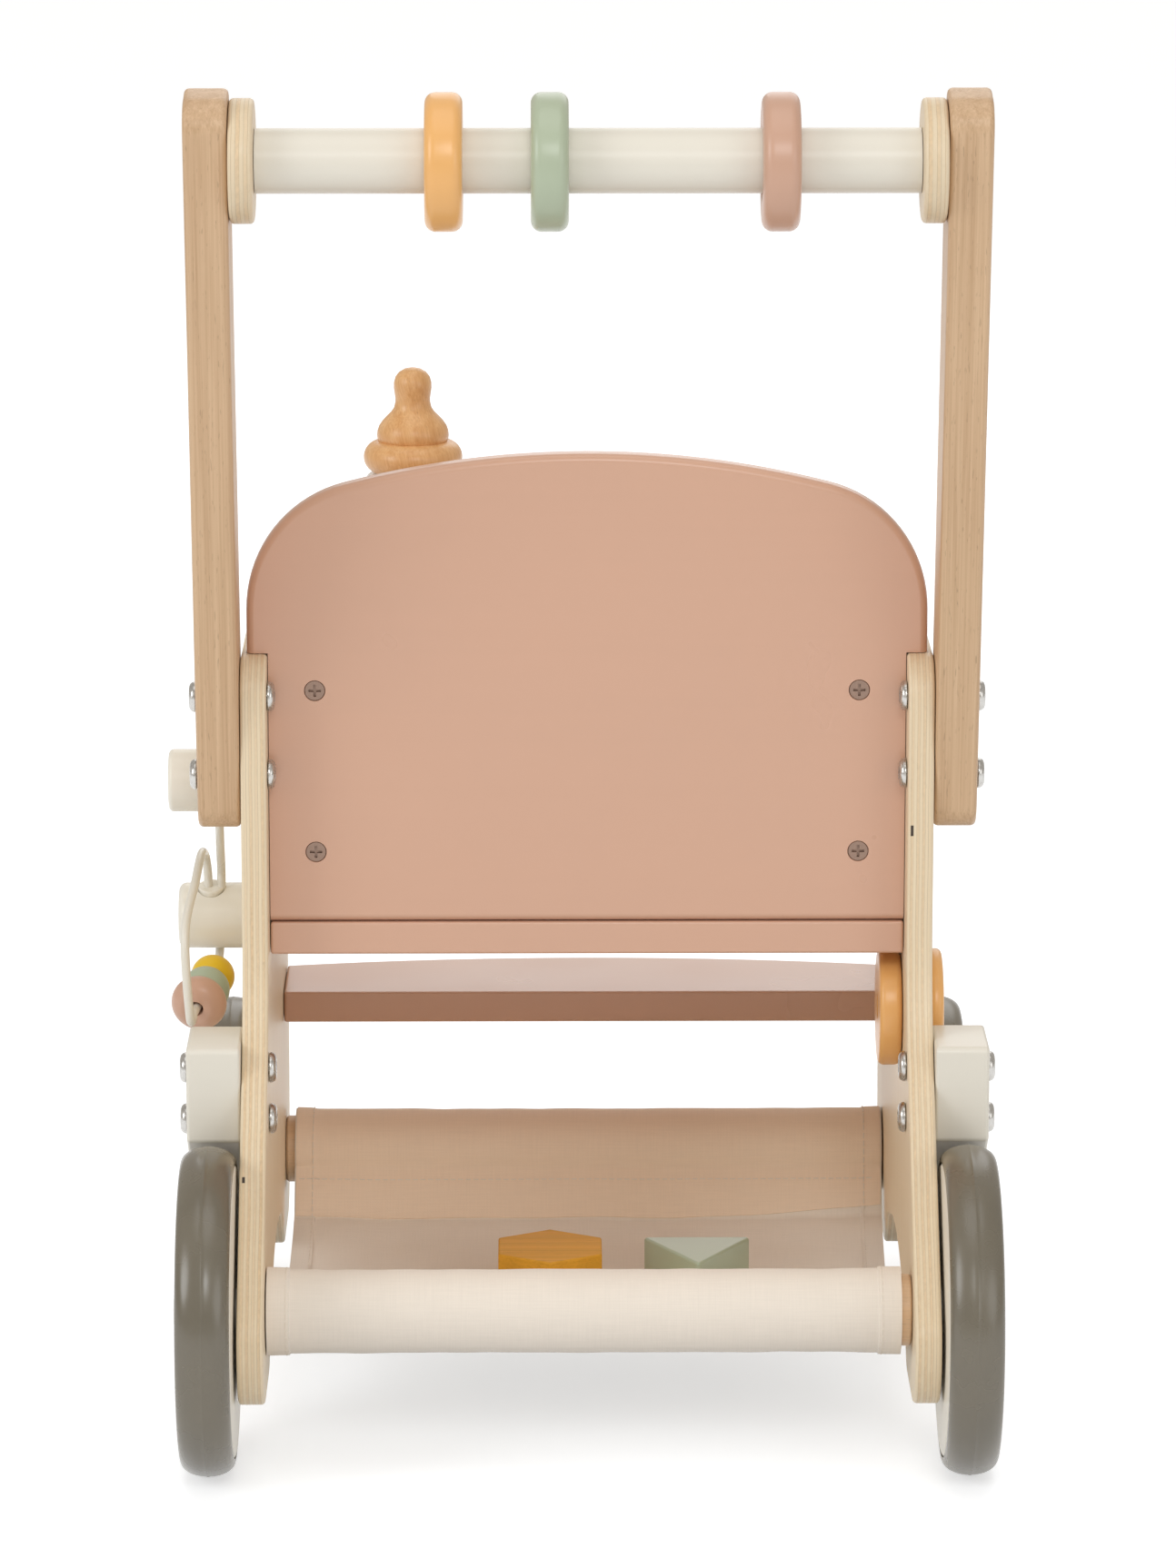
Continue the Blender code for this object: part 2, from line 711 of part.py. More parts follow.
def seat_back_outline():
    """The outline in X and Z before its notches are cut: a crowned top and round shoulders."""
    crown_centre = seat_back_top - seat_back_crown_radius
    shoulder_x = seat_back_half_width - seat_back_shoulder_radius
    reach = seat_back_crown_radius - seat_back_shoulder_radius
    shoulder_z = crown_centre + math.sqrt(reach ** 2 - shoulder_x ** 2)
    lean = math.atan2(shoulder_z - crown_centre, shoulder_x)
    half = []
    steps = crown_steps
    for step in range(steps + 1):
        angle = lean * step / steps
        x = shoulder_x + seat_back_shoulder_radius * math.cos(angle)
        half.append((x, shoulder_z + seat_back_shoulder_radius * math.sin(angle)))
    for step in range(1, steps):
        angle = lean + (math.pi / 2 - lean) * step / steps
        x = seat_back_crown_radius * math.cos(angle)
        half.append((x, crown_centre + seat_back_crown_radius * math.sin(angle)))
    right = [(seat_back_half_width, seat_top + touch_gap)] + half
    left = [(-x, z) for x, z in reversed(right)]
    return right + [(0, seat_back_top)] + left


def back_screw_places():
    return [(side * back_screw_x, z) for side in (-1, 1) for z in (back_screw_low, back_screw_high)]


def build_seat_back(salmon, beech, steel):
    bm = bmesh.new()
    prism(bm, seat_back_outline(), "Y", -seat_back_rear, seat_back_front)
    back = finish("seat_back", bm, salmon)
    round_rims(back, seat_back_edge_round, soft_bevel_steps)
    head_at = -seat_back_rear + back_screw_recess_depth
    head_end = head_at + back_screw_head_height
    shank_end = head_at + back_screw_length
    notches = bmesh.new()
    notch_front = seat_back_front + cut_overrun
    for side in (-1, 1):
        low, high = sorted((side * board_half, side * (seat_back_half_width + cut_overrun)))
        top = panel_top + touch_gap
        outline = [(low, seat_top - cut_overrun), (high, seat_top - cut_overrun), (high, top), (low, top)]
        prism(notches, outline, "Y", -seat_back_rear - cut_overrun, notch_front)
    cut(back, finish("seat_back_notches", notches, None))
    recesses = bmesh.new()
    slots = bmesh.new()
    screws = []
    for index, (x, z) in enumerate(back_screw_places()):
        wide = back_screw_recess_radius
        narrow = back_screw_shank_radius + touch_gap
        mouth = -seat_back_rear - cut_overrun
        past = seat_back_front + cut_overrun
        throat = head_at + touch_gap + back_screw_head_height
        seat = head_at + touch_gap
        recess = [(0, mouth), (wide, mouth), (wide, seat), (narrow, throat), (narrow, past), (0, past)]
        turned(recesses, recess, (x, 0, z), "Y")
        head = back_screw_head_radius
        shank = back_screw_shank_radius
        taper = shank_end - shank * 2
        screw = [(0, head_at), (head, head_at), (shank, head_end), (shank, taper), (0, shank_end)]
        bm = bmesh.new()
        turned(bm, screw, (x, 0, z), "Y")
        screws.append(finish(f"seat_back_screw_{index + 1}", bm, steel))
        cross_slot(slots, x, z, head_at)
    cut(back, finish("seat_back_recesses", recesses, None))
    slot_cutter = finish("screw_slots", slots, None)
    for screw in screws:
        cut(screw, slot_cutter)
    cleat_rear = seat_back_front + touch_gap
    cleat_front = cleat_rear + cleat_depth
    for side in (-1, 1):
        low, high = sorted((side * (board_half - cleat_width), side * board_half))
        outline = [(low, cleat_foot), (high, cleat_foot), (high, cleat_top), (low, cleat_top)]
        block = bmesh.new()
        prism(block, outline, "Y", cleat_rear, cleat_front)
        cleat = finish("seat_cleat_" + side_name(side), block, beech)
        round_rims(cleat, cleat_edge_round)
        holes = bmesh.new()
        for z in (back_screw_low, back_screw_high):
            place = (side * back_screw_x, 0, z)
            radius = back_screw_shank_radius + touch_gap
            cylinder(holes, radius, cleat_rear - cut_overrun, shank_end + pin_end_room, place, "Y")
        cut(cleat, finish("seat_cleat_holes_" + side_name(side), holes, None))


def cross_slot(bm, x, z, head_at):
    """One plus-shaped driver slot, cut as a single outline."""
    long = back_screw_head_radius * slot_reach_share
    thin = back_screw_head_radius * slot_half_width_share
    quarter_arm = [(thin, thin), (thin, long), (-thin, long)]
    outline = []
    for turn in range(4):
        rotation = Matrix.Rotation(math.radians(90 * turn), 2)
        for point in quarter_arm:
            place = rotation @ Vector(point)
            outline.append((x + place.x, z + place.y))
    unique = [point for index, point in enumerate(outline) if point != outline[index - 1]]
    prism(bm, unique, "Y", head_at - cut_overrun, head_at + back_screw_head_height / 3)


def bowed_board(rear, front_at_ends, front_at_middle):
    """A board's outline in X and Y whose front edge is one shallow arc."""
    rise = front_at_middle - front_at_ends
    outline = [(-board_half, rear), (board_half, rear)]
    if rise == 0:
        return outline + [(board_half, front_at_ends), (-board_half, front_at_ends)]
    radius = (board_half ** 2 + rise ** 2) / (2 * rise)
    centre = front_at_middle - radius
    sweep = math.asin(board_half / radius)
    for step in range(bow_steps + 1):
        angle = sweep - 2 * sweep * step / bow_steps
        outline.append((radius * math.sin(angle), centre + radius * math.cos(angle)))
    return outline


def build_boards(salmon, cream):
    boards = {
        "seat_board": (seat_top, -seat_back_rear, seat_front, seat_front, salmon),
        "footrest": (foot_top, foot_rear, foot_front_at_ends, foot_front_at_middle, salmon),
        "tray": (tray_top, tray_rear, tray_front_at_ends, tray_front_at_middle, cream),
    }
    built = {}
    for name, (top, rear, at_ends, at_middle, material) in boards.items():
        bm = bmesh.new()
        prism(bm, bowed_board(rear, at_ends, at_middle), "Z", top - board_thickness, top)
        board = finish(name, bm, material)
        round_rims(board, board_edge_round)
        pins = bmesh.new()
        for y, z in board_pins():
            if abs(z - (top - board_thickness / 2)) > touch_gap:
                continue
            for side in (-1, 1):
                ends = sorted((side * (board_half - pin_root), side * (inner_half_width + pin_in_panel)))
                cylinder(pins, pin_radius, *ends, (0, y, z))
        cut(board, finish(name + "_pins", pins, None), "UNION")
        built[name] = board
    recess = bmesh.new()
    wall = bottle_radius + running_gap
    floor = tray_top - bottle_recess_depth
    cylinder(recess, wall, floor, tray_top + cut_overrun, (bottle_x, bottle_y, 0), "Z", round_steps)
    cut(built["tray"], finish("bottle_recess", recess, None))


def build_bottle(white, beech):
    top = bottle_base + bottle_body_height
    foot = bottle_foot_round
    shoulder = bottle_shoulder_round
    peg_bottom = top - teat_peg_length
    hole = teat_peg_radius + touch_gap
    profile = [(0, bottle_base), (bottle_radius - foot, bottle_base)]
    profile += [(bottle_radius, bottle_base + foot), (bottle_radius, top - shoulder)]
    profile += [(bottle_radius - shoulder / 2, top)]
    profile += [(hole, top), (hole, peg_bottom - touch_gap), (0, peg_bottom - touch_gap)]
    centre = (bottle_x, bottle_y, 0)
    bm = bmesh.new()
    turned(bm, profile, centre, "Z", round_steps)
    finish("bottle_body", bm, white)
    collar = top + touch_gap
    dome = collar + collar_height
    neck = dome + teat_dome_height
    bulb = neck + teat_neck_height
    half_collar = collar_height / 2
    profile = [(0, peg_bottom), (teat_peg_radius, peg_bottom), (teat_peg_radius, collar)]
    profile += quarter(collar_radius - half_collar, collar + half_collar, half_collar, half_collar, -90, 75, 4)
    profile += [(teat_dome_radius - teat_groove_depth, dome)]
    profile += [(teat_dome_radius, dome + teat_groove_depth)]
    profile += quarter(teat_neck_radius, dome + teat_groove_depth, teat_dome_radius - teat_neck_radius,
                       teat_dome_height - teat_groove_depth, 25, 80, 2)
    profile += [(teat_neck_radius, neck + teat_neck_height / 2)]
    half_bulb = teat_bulb_height / 2
    profile += quarter(0, bulb + half_bulb - teat_neck_height / 2, teat_bulb_radius, half_bulb + teat_neck_height / 4,
                       -20, 90, 4)
    profile[-1] = (0, profile[-1][1])
    teat = bmesh.new()
    turned(teat, profile, centre, "Z", round_steps)
    finish("bottle_teat", teat, beech)


def sling_path():
    """The cloth's middle line in Y and Z: round the rear dowel, down, along and round the front one."""
    dowel_corner = dowel_radius / math.cos(math.pi / round_steps)
    roll = (dowel_corner + touch_gap) / math.cos(math.pi / wrap_steps) + cloth_thickness / 2
    seam = sling_seam_gap / roll
    leave = sling_leave_angle
    bottom = sling_floor - cloth_thickness / 2
    crease_y = front_axle_y - roll - sling_crease_inset
    slope = crease_y - sling_floor_half
    inset_share, fall_share = sling_leave_shares
    drop = [
        (front_axle_y - roll - sling_crease_inset * inset_share, axle_z - dowel_radius * fall_share),
        (crease_y, bottom + sling_crease_rise),
    ]
    for along_share, rise_share in (sling_belly_shares, sling_settle_shares):
        drop.append((crease_y - slope * along_share, bottom + sling_crease_rise * rise_share))
    drop += [
        (sling_floor_half, bottom),
        (sling_floor_half / 3, bottom),
    ]
    start = [(front_axle_y - roll * math.cos(leave), axle_z + roll * math.sin(leave))]
    half = list(reversed(front_wrap(roll, leave, seam))) + start + drop
    mirrored = [(-y, z) for y, z in reversed(half)]
    return half + mirrored


def front_wrap(roll, leave, seam):
    """Points round the front dowel, from just past where the cloth leaves it, over its top."""
    sweep = math.pi * 2 - (cloth_thickness + sling_seam_gap) / roll - seam
    points = []
    for step in range(1, wrap_steps + 1):
        angle = leave + sweep * step / wrap_steps
        points.append((front_axle_y - roll * math.cos(angle), axle_z + roll * math.sin(angle)))
    return points


def build_sling(cotton):
    path = [Vector(point) for point in sling_path()]
    columns = sling_columns
    half_thickness = cloth_thickness / 2
    normals = []
    for index, point in enumerate(path):
        before = path[max(index - 1, 0)]
        after = path[min(index + 1, len(path) - 1)]
        along = (after - before).normalized()
        normals.append(Vector((-along.y, along.x)))
    bm = bmesh.new()
    grid = []
    for column in range(columns + 1):
        across = 2 * column / columns - 1
        x = sling_half_width * across
        sides = []
        for point, normal in zip(path, normals):
            free = max(0.0, 1 - abs(point.x) / (front_axle_y - dowel_radius - cloth_thickness))
            on_floor = abs(point.x) < sling_floor_half + touch_gap
            fold = 0 if on_floor else sling_fold_depth * math.cos(math.pi * sling_fold_count * across)
            lift = (sling_edge_lift * across ** 4 + fold) * free
            for offset in (half_thickness, -half_thickness):
                place = point + normal * offset
                sides.append(bm.verts.new((x, place.x, place.y + lift)))
        grid.append(sides)
    rows = len(path)
    for column in range(columns):
        here, there = grid[column], grid[column + 1]
        for row in range(rows - 1):
            for offset in (0, 1):
                a, b = 2 * row + offset, 2 * row + 2 + offset
                bm.faces.new((here[a], here[b], there[b], there[a]))
        for a in (0, 2 * rows - 2):
            bm.faces.new((here[a], here[a + 1], there[a + 1], there[a]))
    for sides in (grid[0], grid[-1]):
        for row in range(rows - 1):
            bm.faces.new((sides[2 * row], sides[2 * row + 1], sides[2 * row + 3], sides[2 * row + 2]))
    finish("basket_sling", bm, cotton)


def build_shapes(ochre, mint):
    base = sling_floor + touch_gap
    corner = hexagon_across_flats / math.sqrt(3)
    hexagon = []
    for index in range(6):
        angle = math.radians(60 * index + 30)
        hexagon.append((hexagon_x + corner * math.cos(angle), shapes_y + corner * math.sin(angle)))
    depth = triangle_side * math.sqrt(3) / 2
    flat_y = shapes_y + depth / 3
    triangle = rounded_outline([
        (triangle_x + triangle_side / 2, flat_y, triangle_corner_round),
        (triangle_x - triangle_side / 2, flat_y, triangle_corner_round),
        (triangle_x, flat_y - depth, triangle_corner_round),
    ], 2)
    for name, outline, x, material in (
        ("hexagon_block", hexagon, hexagon_x, ochre), ("triangle_block", triangle, triangle_x, mint)
    ):
        bm = bmesh.new()
        prism(bm, outline, "Z", base, base + block_height)
        block = finish(name, bm, material, (x, shapes_y, base))
        round_rims(block, block_edge_round)


def build_guards(cream):
    """Blocks that hide the tops of the rear wheels; their undersides follow the tyre."""
    radius = wheel_radius + guard_tyre_gap
    rear = -guard_rear
    front = rear + guard_depth
    start = math.acos((rear - rear_axle_y) / radius)
    end = math.asin((guard_toe - axle_z) / radius)
    steps = crown_steps
    arc = []
    for step in range(steps + 1):
        angle = end + (start - end) * step / steps
        arc.append((rear_axle_y + radius * math.cos(angle), axle_z + radius * math.sin(angle)))
    outline = [(front, guard_toe)] + arc + rounded_outline([
        (rear, guard_top, guard_corner), (front, guard_top, guard_corner), (front, guard_toe, 0),
    ], 2)[:-1]
    for side in (-1, 1):
        low, high = sorted((side * guard_inner, side * guard_outer))
        bm = bmesh.new()
        prism(bm, outline, "X", low, high)
        guard = finish("wheel_guard_" + side_name(side), bm, cream)
        round_rims(guard, guard_edge_round)
        holes = bmesh.new()
        for y, z in guard_bolt_places():
            cylinder(holes, bolt_shank_radius + touch_gap, low - cut_overrun, high + cut_overrun, (0, y, z))
        cut(guard, finish("wheel_guard_holes_" + side_name(side), holes, None))


def bolt_end(face, outward):
    """Half of a bolt's profile, from its shank over the domed head to the socket's floor."""
    crown = face + outward * bolt_head_height
    floor = crown - outward * socket_depth
    rim_top = face + outward * bolt_head_height * bolt_rim_share
    shoulder = (bolt_head_radius * bolt_shoulder_share, face + outward * bolt_head_height * bolt_crown_share)
    return [
        (bolt_shank_radius, face), (bolt_head_radius, face), (bolt_head_radius, rim_top), shoulder,
        (socket_radius, crown), (socket_radius, floor), (0, floor),
    ]


def build_bolts(steel):
    for kind, places, outer in (
        ("arm", arm_bolt_places(), arm_outer), ("guard", guard_bolt_places(), guard_outer)
    ):
        for side in (-1, 1):
            for level, (y, z) in zip(("low", "high"), places):
                bm = bmesh.new()
                profile = list(reversed(bolt_end(side * (inner_half_width - touch_gap), -side)))
                profile += bolt_end(side * (outer + touch_gap), side)
                turned(bm, profile, (0, y, z))
                finish(f"{kind}_bolt_{side_name(side)}_{level}", bm, steel)


def run_direction():
    """The bead run's unit direction: away from the child, a little inward and up."""
    return Vector((
        math.sin(run_slope_x),
        math.cos(run_slope_x) * math.cos(run_slope_z),
        math.cos(run_slope_x) * math.sin(run_slope_z),
    ))


def run_point(along):
    return Vector((-run_x, post_upper_y + run_ahead_of_post, run_z)) + run_direction() * along


def build_posts(cream):
    root = -(panel_outer + touch_gap)
    spigot_end = -(panel_outer - post_spigot_length)
    for name, radius, (y, z) in zip(("upper", "lower"), (post_radius, post_lower_radius), post_places()):
        bm = bmesh.new()
        rim = radius - post_edge_round
        end = -post_end if name == "upper" else -post_end + post_lower_shortening
        profile = [
            (0, spigot_end), (post_spigot_radius, spigot_end), (post_spigot_radius, root), (radius, root),
            (radius, end + post_edge_round), (rim, end), (0, end),
        ]
        turned(bm, profile, (0, y, z), steps=round_steps)
        post = finish("bead_post_" + name, bm, cream)
        holes = bmesh.new()
        socket = wire_radius + wire_socket_gap
        down = z - radius
        past = radius + cut_overrun
        if name == "upper":
            place = (-wire_straight_x + wire_straight_splay, post_upper_y, 0)
            top = down + wire_socket_depth + pin_end_room
            cylinder(holes, socket, down - cut_overrun, top, place, "Z")
        else:
            boss = bmesh.new()
            middle = (-(panel_outer + post_boss_stand_off), y, z)
            tilt = Matrix.Rotation(post_boss_tilt, 4, "X")
            cylinder(boss, post_boss_radius, 0, post_boss_reach, middle, turn=tilt)
            cut(post, finish("post_boss", boss, None), "UNION")
            deep = wire_foot_z - wire_socket_depth - pin_end_room
            for x in (wire_straight_x, wire_loop_x):
                cylinder(holes, socket, deep, z + past, (-x, wire_foot_y, 0), "Z")
            place = (-wire_riser_x, wire_riser_y, 0)
            top = down + 2 * wire_socket_depth + pin_end_room
            cylinder(holes, socket, down - cut_overrun, top, place, "Z")
        cut(post, finish("post_holes_" + name, holes, None))


def smooth_route(points):
    """A Catmull-Rom curve through a route's points."""
    route = []
    padded = [2 * points[0] - points[1]] + points + [2 * points[-1] - points[-2]]
    for index in range(1, len(padded) - 2):
        a, b, c, d = padded[index - 1:index + 3]
        for step in range(route_steps):
            t = step / route_steps
            route.append(0.5 * (2 * b + (c - a) * t + (2 * a - 5 * b + 4 * c - d) * t ** 2
                                + (3 * b - a - 3 * c + d) * t ** 3))
    route.append(points[-1])
    return route


def wire_object(name, points, material):
    data = bpy.data.curves.new(name, "CURVE")
    data.dimensions = "3D"
    data.bevel_depth = wire_radius
    data.bevel_resolution = 1
    data.use_fill_caps = True
    spline = data.splines.new("POLY")
    spline.points.add(len(points) - 1)
    for target, point in zip(spline.points, points):
        target.co = (*point, 1)
    thing = bpy.data.objects.new(name, data)
    data.materials.append(material)
    bpy.context.scene.collection.objects.link(thing)


def build_wire(cream):
    upper_bottom = post_upper_z - post_radius
    lower_bottom = post_lower_z - post_lower_radius
    top = Vector((-wire_straight_x + wire_straight_splay, post_upper_y, upper_bottom))
    foot = Vector((-wire_straight_x, wire_foot_y, wire_foot_z))
    drop = foot.z - top.z
    stride = foot - top
    stride.z = 0
    straight = [top + Vector((0, 0, wire_socket_depth))]
    for along_share, across_share in wire_bend_shares:
        straight.append(top + stride * across_share + Vector((0, 0, drop * along_share)))
    for along_share, across_share in reversed(wire_bend_shares):
        straight.append(foot - stride * across_share - Vector((0, 0, drop * along_share)))
    straight.append(foot - Vector((0, 0, wire_socket_depth)))
    crest_x = wire_loop_x + wire_radius
    fall_z = wire_peak - wire_radius * wire_fall_share
    shoulder_y = (wire_foot_y + wire_peak_y) / 2 + wire_radius * wire_shoulder_share
    loop = [
        Vector((-wire_loop_x, wire_foot_y, wire_foot_z - wire_socket_depth)),
        Vector((-wire_loop_x, wire_foot_y, wire_foot_z + wire_socket_depth)),
        Vector((-(wire_loop_x + crest_x) / 2, shoulder_y, wire_peak - wire_radius * wire_crest_share)),
        Vector((-crest_x, wire_peak_y, wire_peak)),
        Vector((-(wire_loop_x + wire_out_x) / 2, (wire_peak_y + wire_out_y) / 2, fall_z)),
        Vector((-wire_out_x, wire_out_y, wire_out_z)),
        Vector((-wire_low_x, wire_low_y, wire_low_z)),
        run_point(-run_half_length),
    ]
    loop += [run_point(run_half_length * share) for share in run_shares]
    for behind_share, below_share in (riser_run_shares, riser_bend_shares):
        behind = wire_riser_y - wire_radius * behind_share
        loop.append(Vector((-wire_riser_x, behind, lower_bottom - wire_radius * below_share)))
    loop.append(Vector((-wire_riser_x, wire_riser_y, lower_bottom + wire_radius)))
    loop.append(Vector((-wire_riser_x, wire_riser_y, lower_bottom + 2 * wire_socket_depth)))
    wire_object("bead_wire_straight", smooth_route(straight), cream)
    wire_object("bead_wire_loop", smooth_route(loop), cream)


def build_beads(colours):
    turn = run_direction().to_track_quat("Z", "Y").to_matrix().to_4x4()
    pitch = bead_length + bead_gap
    radii = {"pink": bead_pink_radius, "mint": bead_mint_radius, "yellow": bead_yellow_radius}
    bore = wire_radius + bead_bore_gap
    half = bead_length / 2
    for index, (name, radius) in enumerate(radii.items()):
        centre = run_point((index - 1) * pitch)
        core = radius * bead_core_share
        mouth = bore * bead_mouth_share
        profile = [(bore, -half), (mouth, -half)]
        profile += quarter(core, 0, radius - core, half, -bead_swell_sweep, bead_swell_sweep, 4)
        profile += [(mouth, half), (bore, half)]
        bm = bmesh.new()
        turned(bm, profile, centre, steps=bead_steps, closed=True, turn=turn)
        finish("bead_" + name, bm, colours[name], centre)


def build_spinner(orange, steel):
    centre = (0, spinner_y, spinner_z)
    bore = spinner_pin_radius + touch_gap
    edge = spinner_radius - spinner_round
    for name, near, far in (
        ("inner", inner_half_width - touch_gap, inner_half_width - touch_gap - spinner_inner_thickness),
        ("outer", panel_outer + touch_gap, panel_outer + touch_gap + spinner_outer_thickness),
    ):
        step = math.copysign(spinner_round, far - near)
        rim = spinner_radius
        ring = [(bore, near), (edge, near), (rim, near + step), (rim, far - step), (edge, far), (bore, far)]
        bm = bmesh.new()
        turned(bm, ring, centre, steps=round_steps, closed=True)
        finish("spinner_disc_" + name, bm, orange, centre)
    pin = bmesh.new()
    low = inner_half_width - touch_gap - spinner_inner_thickness + spinner_pin_inset
    high = panel_outer + touch_gap + spinner_outer_thickness - spinner_pin_inset
    cylinder(pin, spinner_pin_radius, low, high, centre)
    finish("spinner_pin", pin, steel, centre)


def centre_everything():
    """Hang every piece on one empty, so that the overall box is centred on the origin."""
    middle = bpy.data.objects.new("toy_middle", None)
    bpy.context.scene.collection.objects.link(middle)
    for thing in list(bpy.context.scene.collection.objects):
        if thing is not middle:
            thing.parent = middle
    middle.location = (centre_shift, 0, 0)


def main():
    clear_scene()
    ply = make_material("clear_plywood", (0.80, 0.60, 0.38), 0.45)
    beech = make_material("beech", (0.62, 0.40, 0.22), 0.45)
    cream = make_material("cream_lacquer", (0.78, 0.73, 0.62), 0.35)
    salmon = make_material("salmon_lacquer", (0.66, 0.40, 0.27), 0.30)
    rubber = make_material("grey_rubber", (0.17, 0.15, 0.11), 0.55)
    steel = make_material("zinc_steel", (0.60, 0.60, 0.58), 0.25, 1.0)
    orange = make_material("orange_lacquer", (0.82, 0.42, 0.12), 0.30)
    mint = make_material("mint_lacquer", (0.42, 0.50, 0.36), 0.30)
    pink = make_material("pink_lacquer", (0.56, 0.34, 0.25), 0.30)
    yellow = make_material("yellow_lacquer", (0.72, 0.46, 0.03), 0.30)
    ochre = make_material("ochre_stain", (0.58, 0.32, 0.05), 0.40)
    white = make_material("white_lacquer", (0.86, 0.85, 0.82), 0.35)
    cotton = make_material("cotton", (0.80, 0.72, 0.64), 0.90)
    build_panels(ply)
    build_wheels(rubber, cream)
    build_axles(steel, beech)
    build_handle(beech, ply, cream)
    build_rings({"orange": orange, "mint": mint, "pink": pink})
    build_seat_back(salmon, beech, steel)
    build_boards(salmon, cream)
    build_bottle(white, beech)
    build_sling(cotton)
    build_shapes(ochre, mint)
    build_guards(cream)
    build_bolts(steel)
    build_posts(cream)
    build_wire(cream)
    build_beads({"pink": pink, "mint": mint, "yellow": yellow})
    build_spinner(orange, steel)
    centre_everything()


main()
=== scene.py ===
"""Toddler walker and doll's pushchair: finished pieces on the CAD frame, seen from the pushing side."""
import math

import bmesh
import bpy
from mathutils import Matrix, Vector, noise


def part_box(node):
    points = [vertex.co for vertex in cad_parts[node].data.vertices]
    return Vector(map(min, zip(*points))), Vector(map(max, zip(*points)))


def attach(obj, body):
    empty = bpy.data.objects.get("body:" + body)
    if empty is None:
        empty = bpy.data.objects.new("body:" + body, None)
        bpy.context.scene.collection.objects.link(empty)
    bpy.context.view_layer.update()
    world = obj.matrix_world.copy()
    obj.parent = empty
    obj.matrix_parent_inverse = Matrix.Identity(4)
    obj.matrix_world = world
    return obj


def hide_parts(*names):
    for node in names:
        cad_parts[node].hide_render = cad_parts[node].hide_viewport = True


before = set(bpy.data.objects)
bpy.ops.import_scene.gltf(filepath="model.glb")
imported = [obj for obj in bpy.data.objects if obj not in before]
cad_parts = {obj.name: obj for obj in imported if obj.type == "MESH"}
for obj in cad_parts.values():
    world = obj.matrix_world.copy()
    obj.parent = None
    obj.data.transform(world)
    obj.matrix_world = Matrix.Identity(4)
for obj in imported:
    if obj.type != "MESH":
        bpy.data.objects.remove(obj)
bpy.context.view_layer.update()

bl_info = {
    "name": "Toddler walker",
    "version": (1, 0, 0),
    "blender": (4, 5, 0),
    "location": "View3D > Sidebar > Walker",
    "description": "Builds the finished pieces of a wooden toddler walker on its frame",
    "category": "Object",
}

MM = 0.001
LEFT_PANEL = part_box("side_panel_left")
RIGHT_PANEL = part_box("side_panel_right")
MIDDLE_X = (LEFT_PANEL[0][0] + RIGHT_PANEL[1][0]) / 2
PANEL_INNER = RIGHT_PANEL[0][0] - MIDDLE_X
PANEL_OUTER = RIGHT_PANEL[1][0] - MIDDLE_X
SIDES = (("left", -1), ("right", 1))
ENDS = ("rear", "front")

# The gap left between fitted pieces, how near two points are one, how finely round things are turned,
# and from how many degrees an edge is drawn sharp
FIT = 0.3 * MM
MERGE = 0.002 * MM
TURN_STEPS = 96
TYRE_STEPS = 144
SMALL_STEPS = 48
SHARP_DEGREES = 32.0

# Driving sizes and places, about the toy's middle
AXLE_Z = 69.0 * MM
AXLES_Y = {"rear": -125.0 * MM, "front": 125.0 * MM}
BAR_Y, BAR_Z = -96.0 * MM, 547.5 * MM
LEAN = math.radians(11.35)
ARM_INNER = PANEL_OUTER + FIT
ARM_OUTER = ARM_INNER + 18.0 * MM
GUARD_OUTER = ARM_INNER + 22.8 * MM
DISC_THICKNESS = 10.0 * MM
DISC_INNER = PANEL_OUTER - DISC_THICKNESS
TYRE_DEPTH = 7.5 * MM
BOARD_HALF = PANEL_INNER - FIT
SEAT_TOP = 215.8 * MM
PANEL_TOP = 332.0 * MM
BOTTLE_SPOT = (-74.4 * MM, 52 * MM, 0)

# Where the basket's second layer of cloth starts, along the cloth from its front end
DOUBLED_FROM = 58 * MM


def linear(red, green, blue):
    """A colour given in 0 to 255 steps, as scene-linear values."""
    steps = [channel / 255 for channel in (red, green, blue)]
    return tuple(step / 12.92 if step <= 0.04045 else ((step + 0.055) / 1.055) ** 2.4 for step in steps)


def length(name, description, default):
    return bpy.props.FloatProperty(name=name, description=description, default=default, min=0.0, precision=4,
                                   unit="LENGTH")


def colour(name, description, red, green, blue):
    return bpy.props.FloatVectorProperty(name=name, description=description, subtype="COLOR", size=3, min=0.0,
                                         max=1.0, default=linear(red, green, blue))


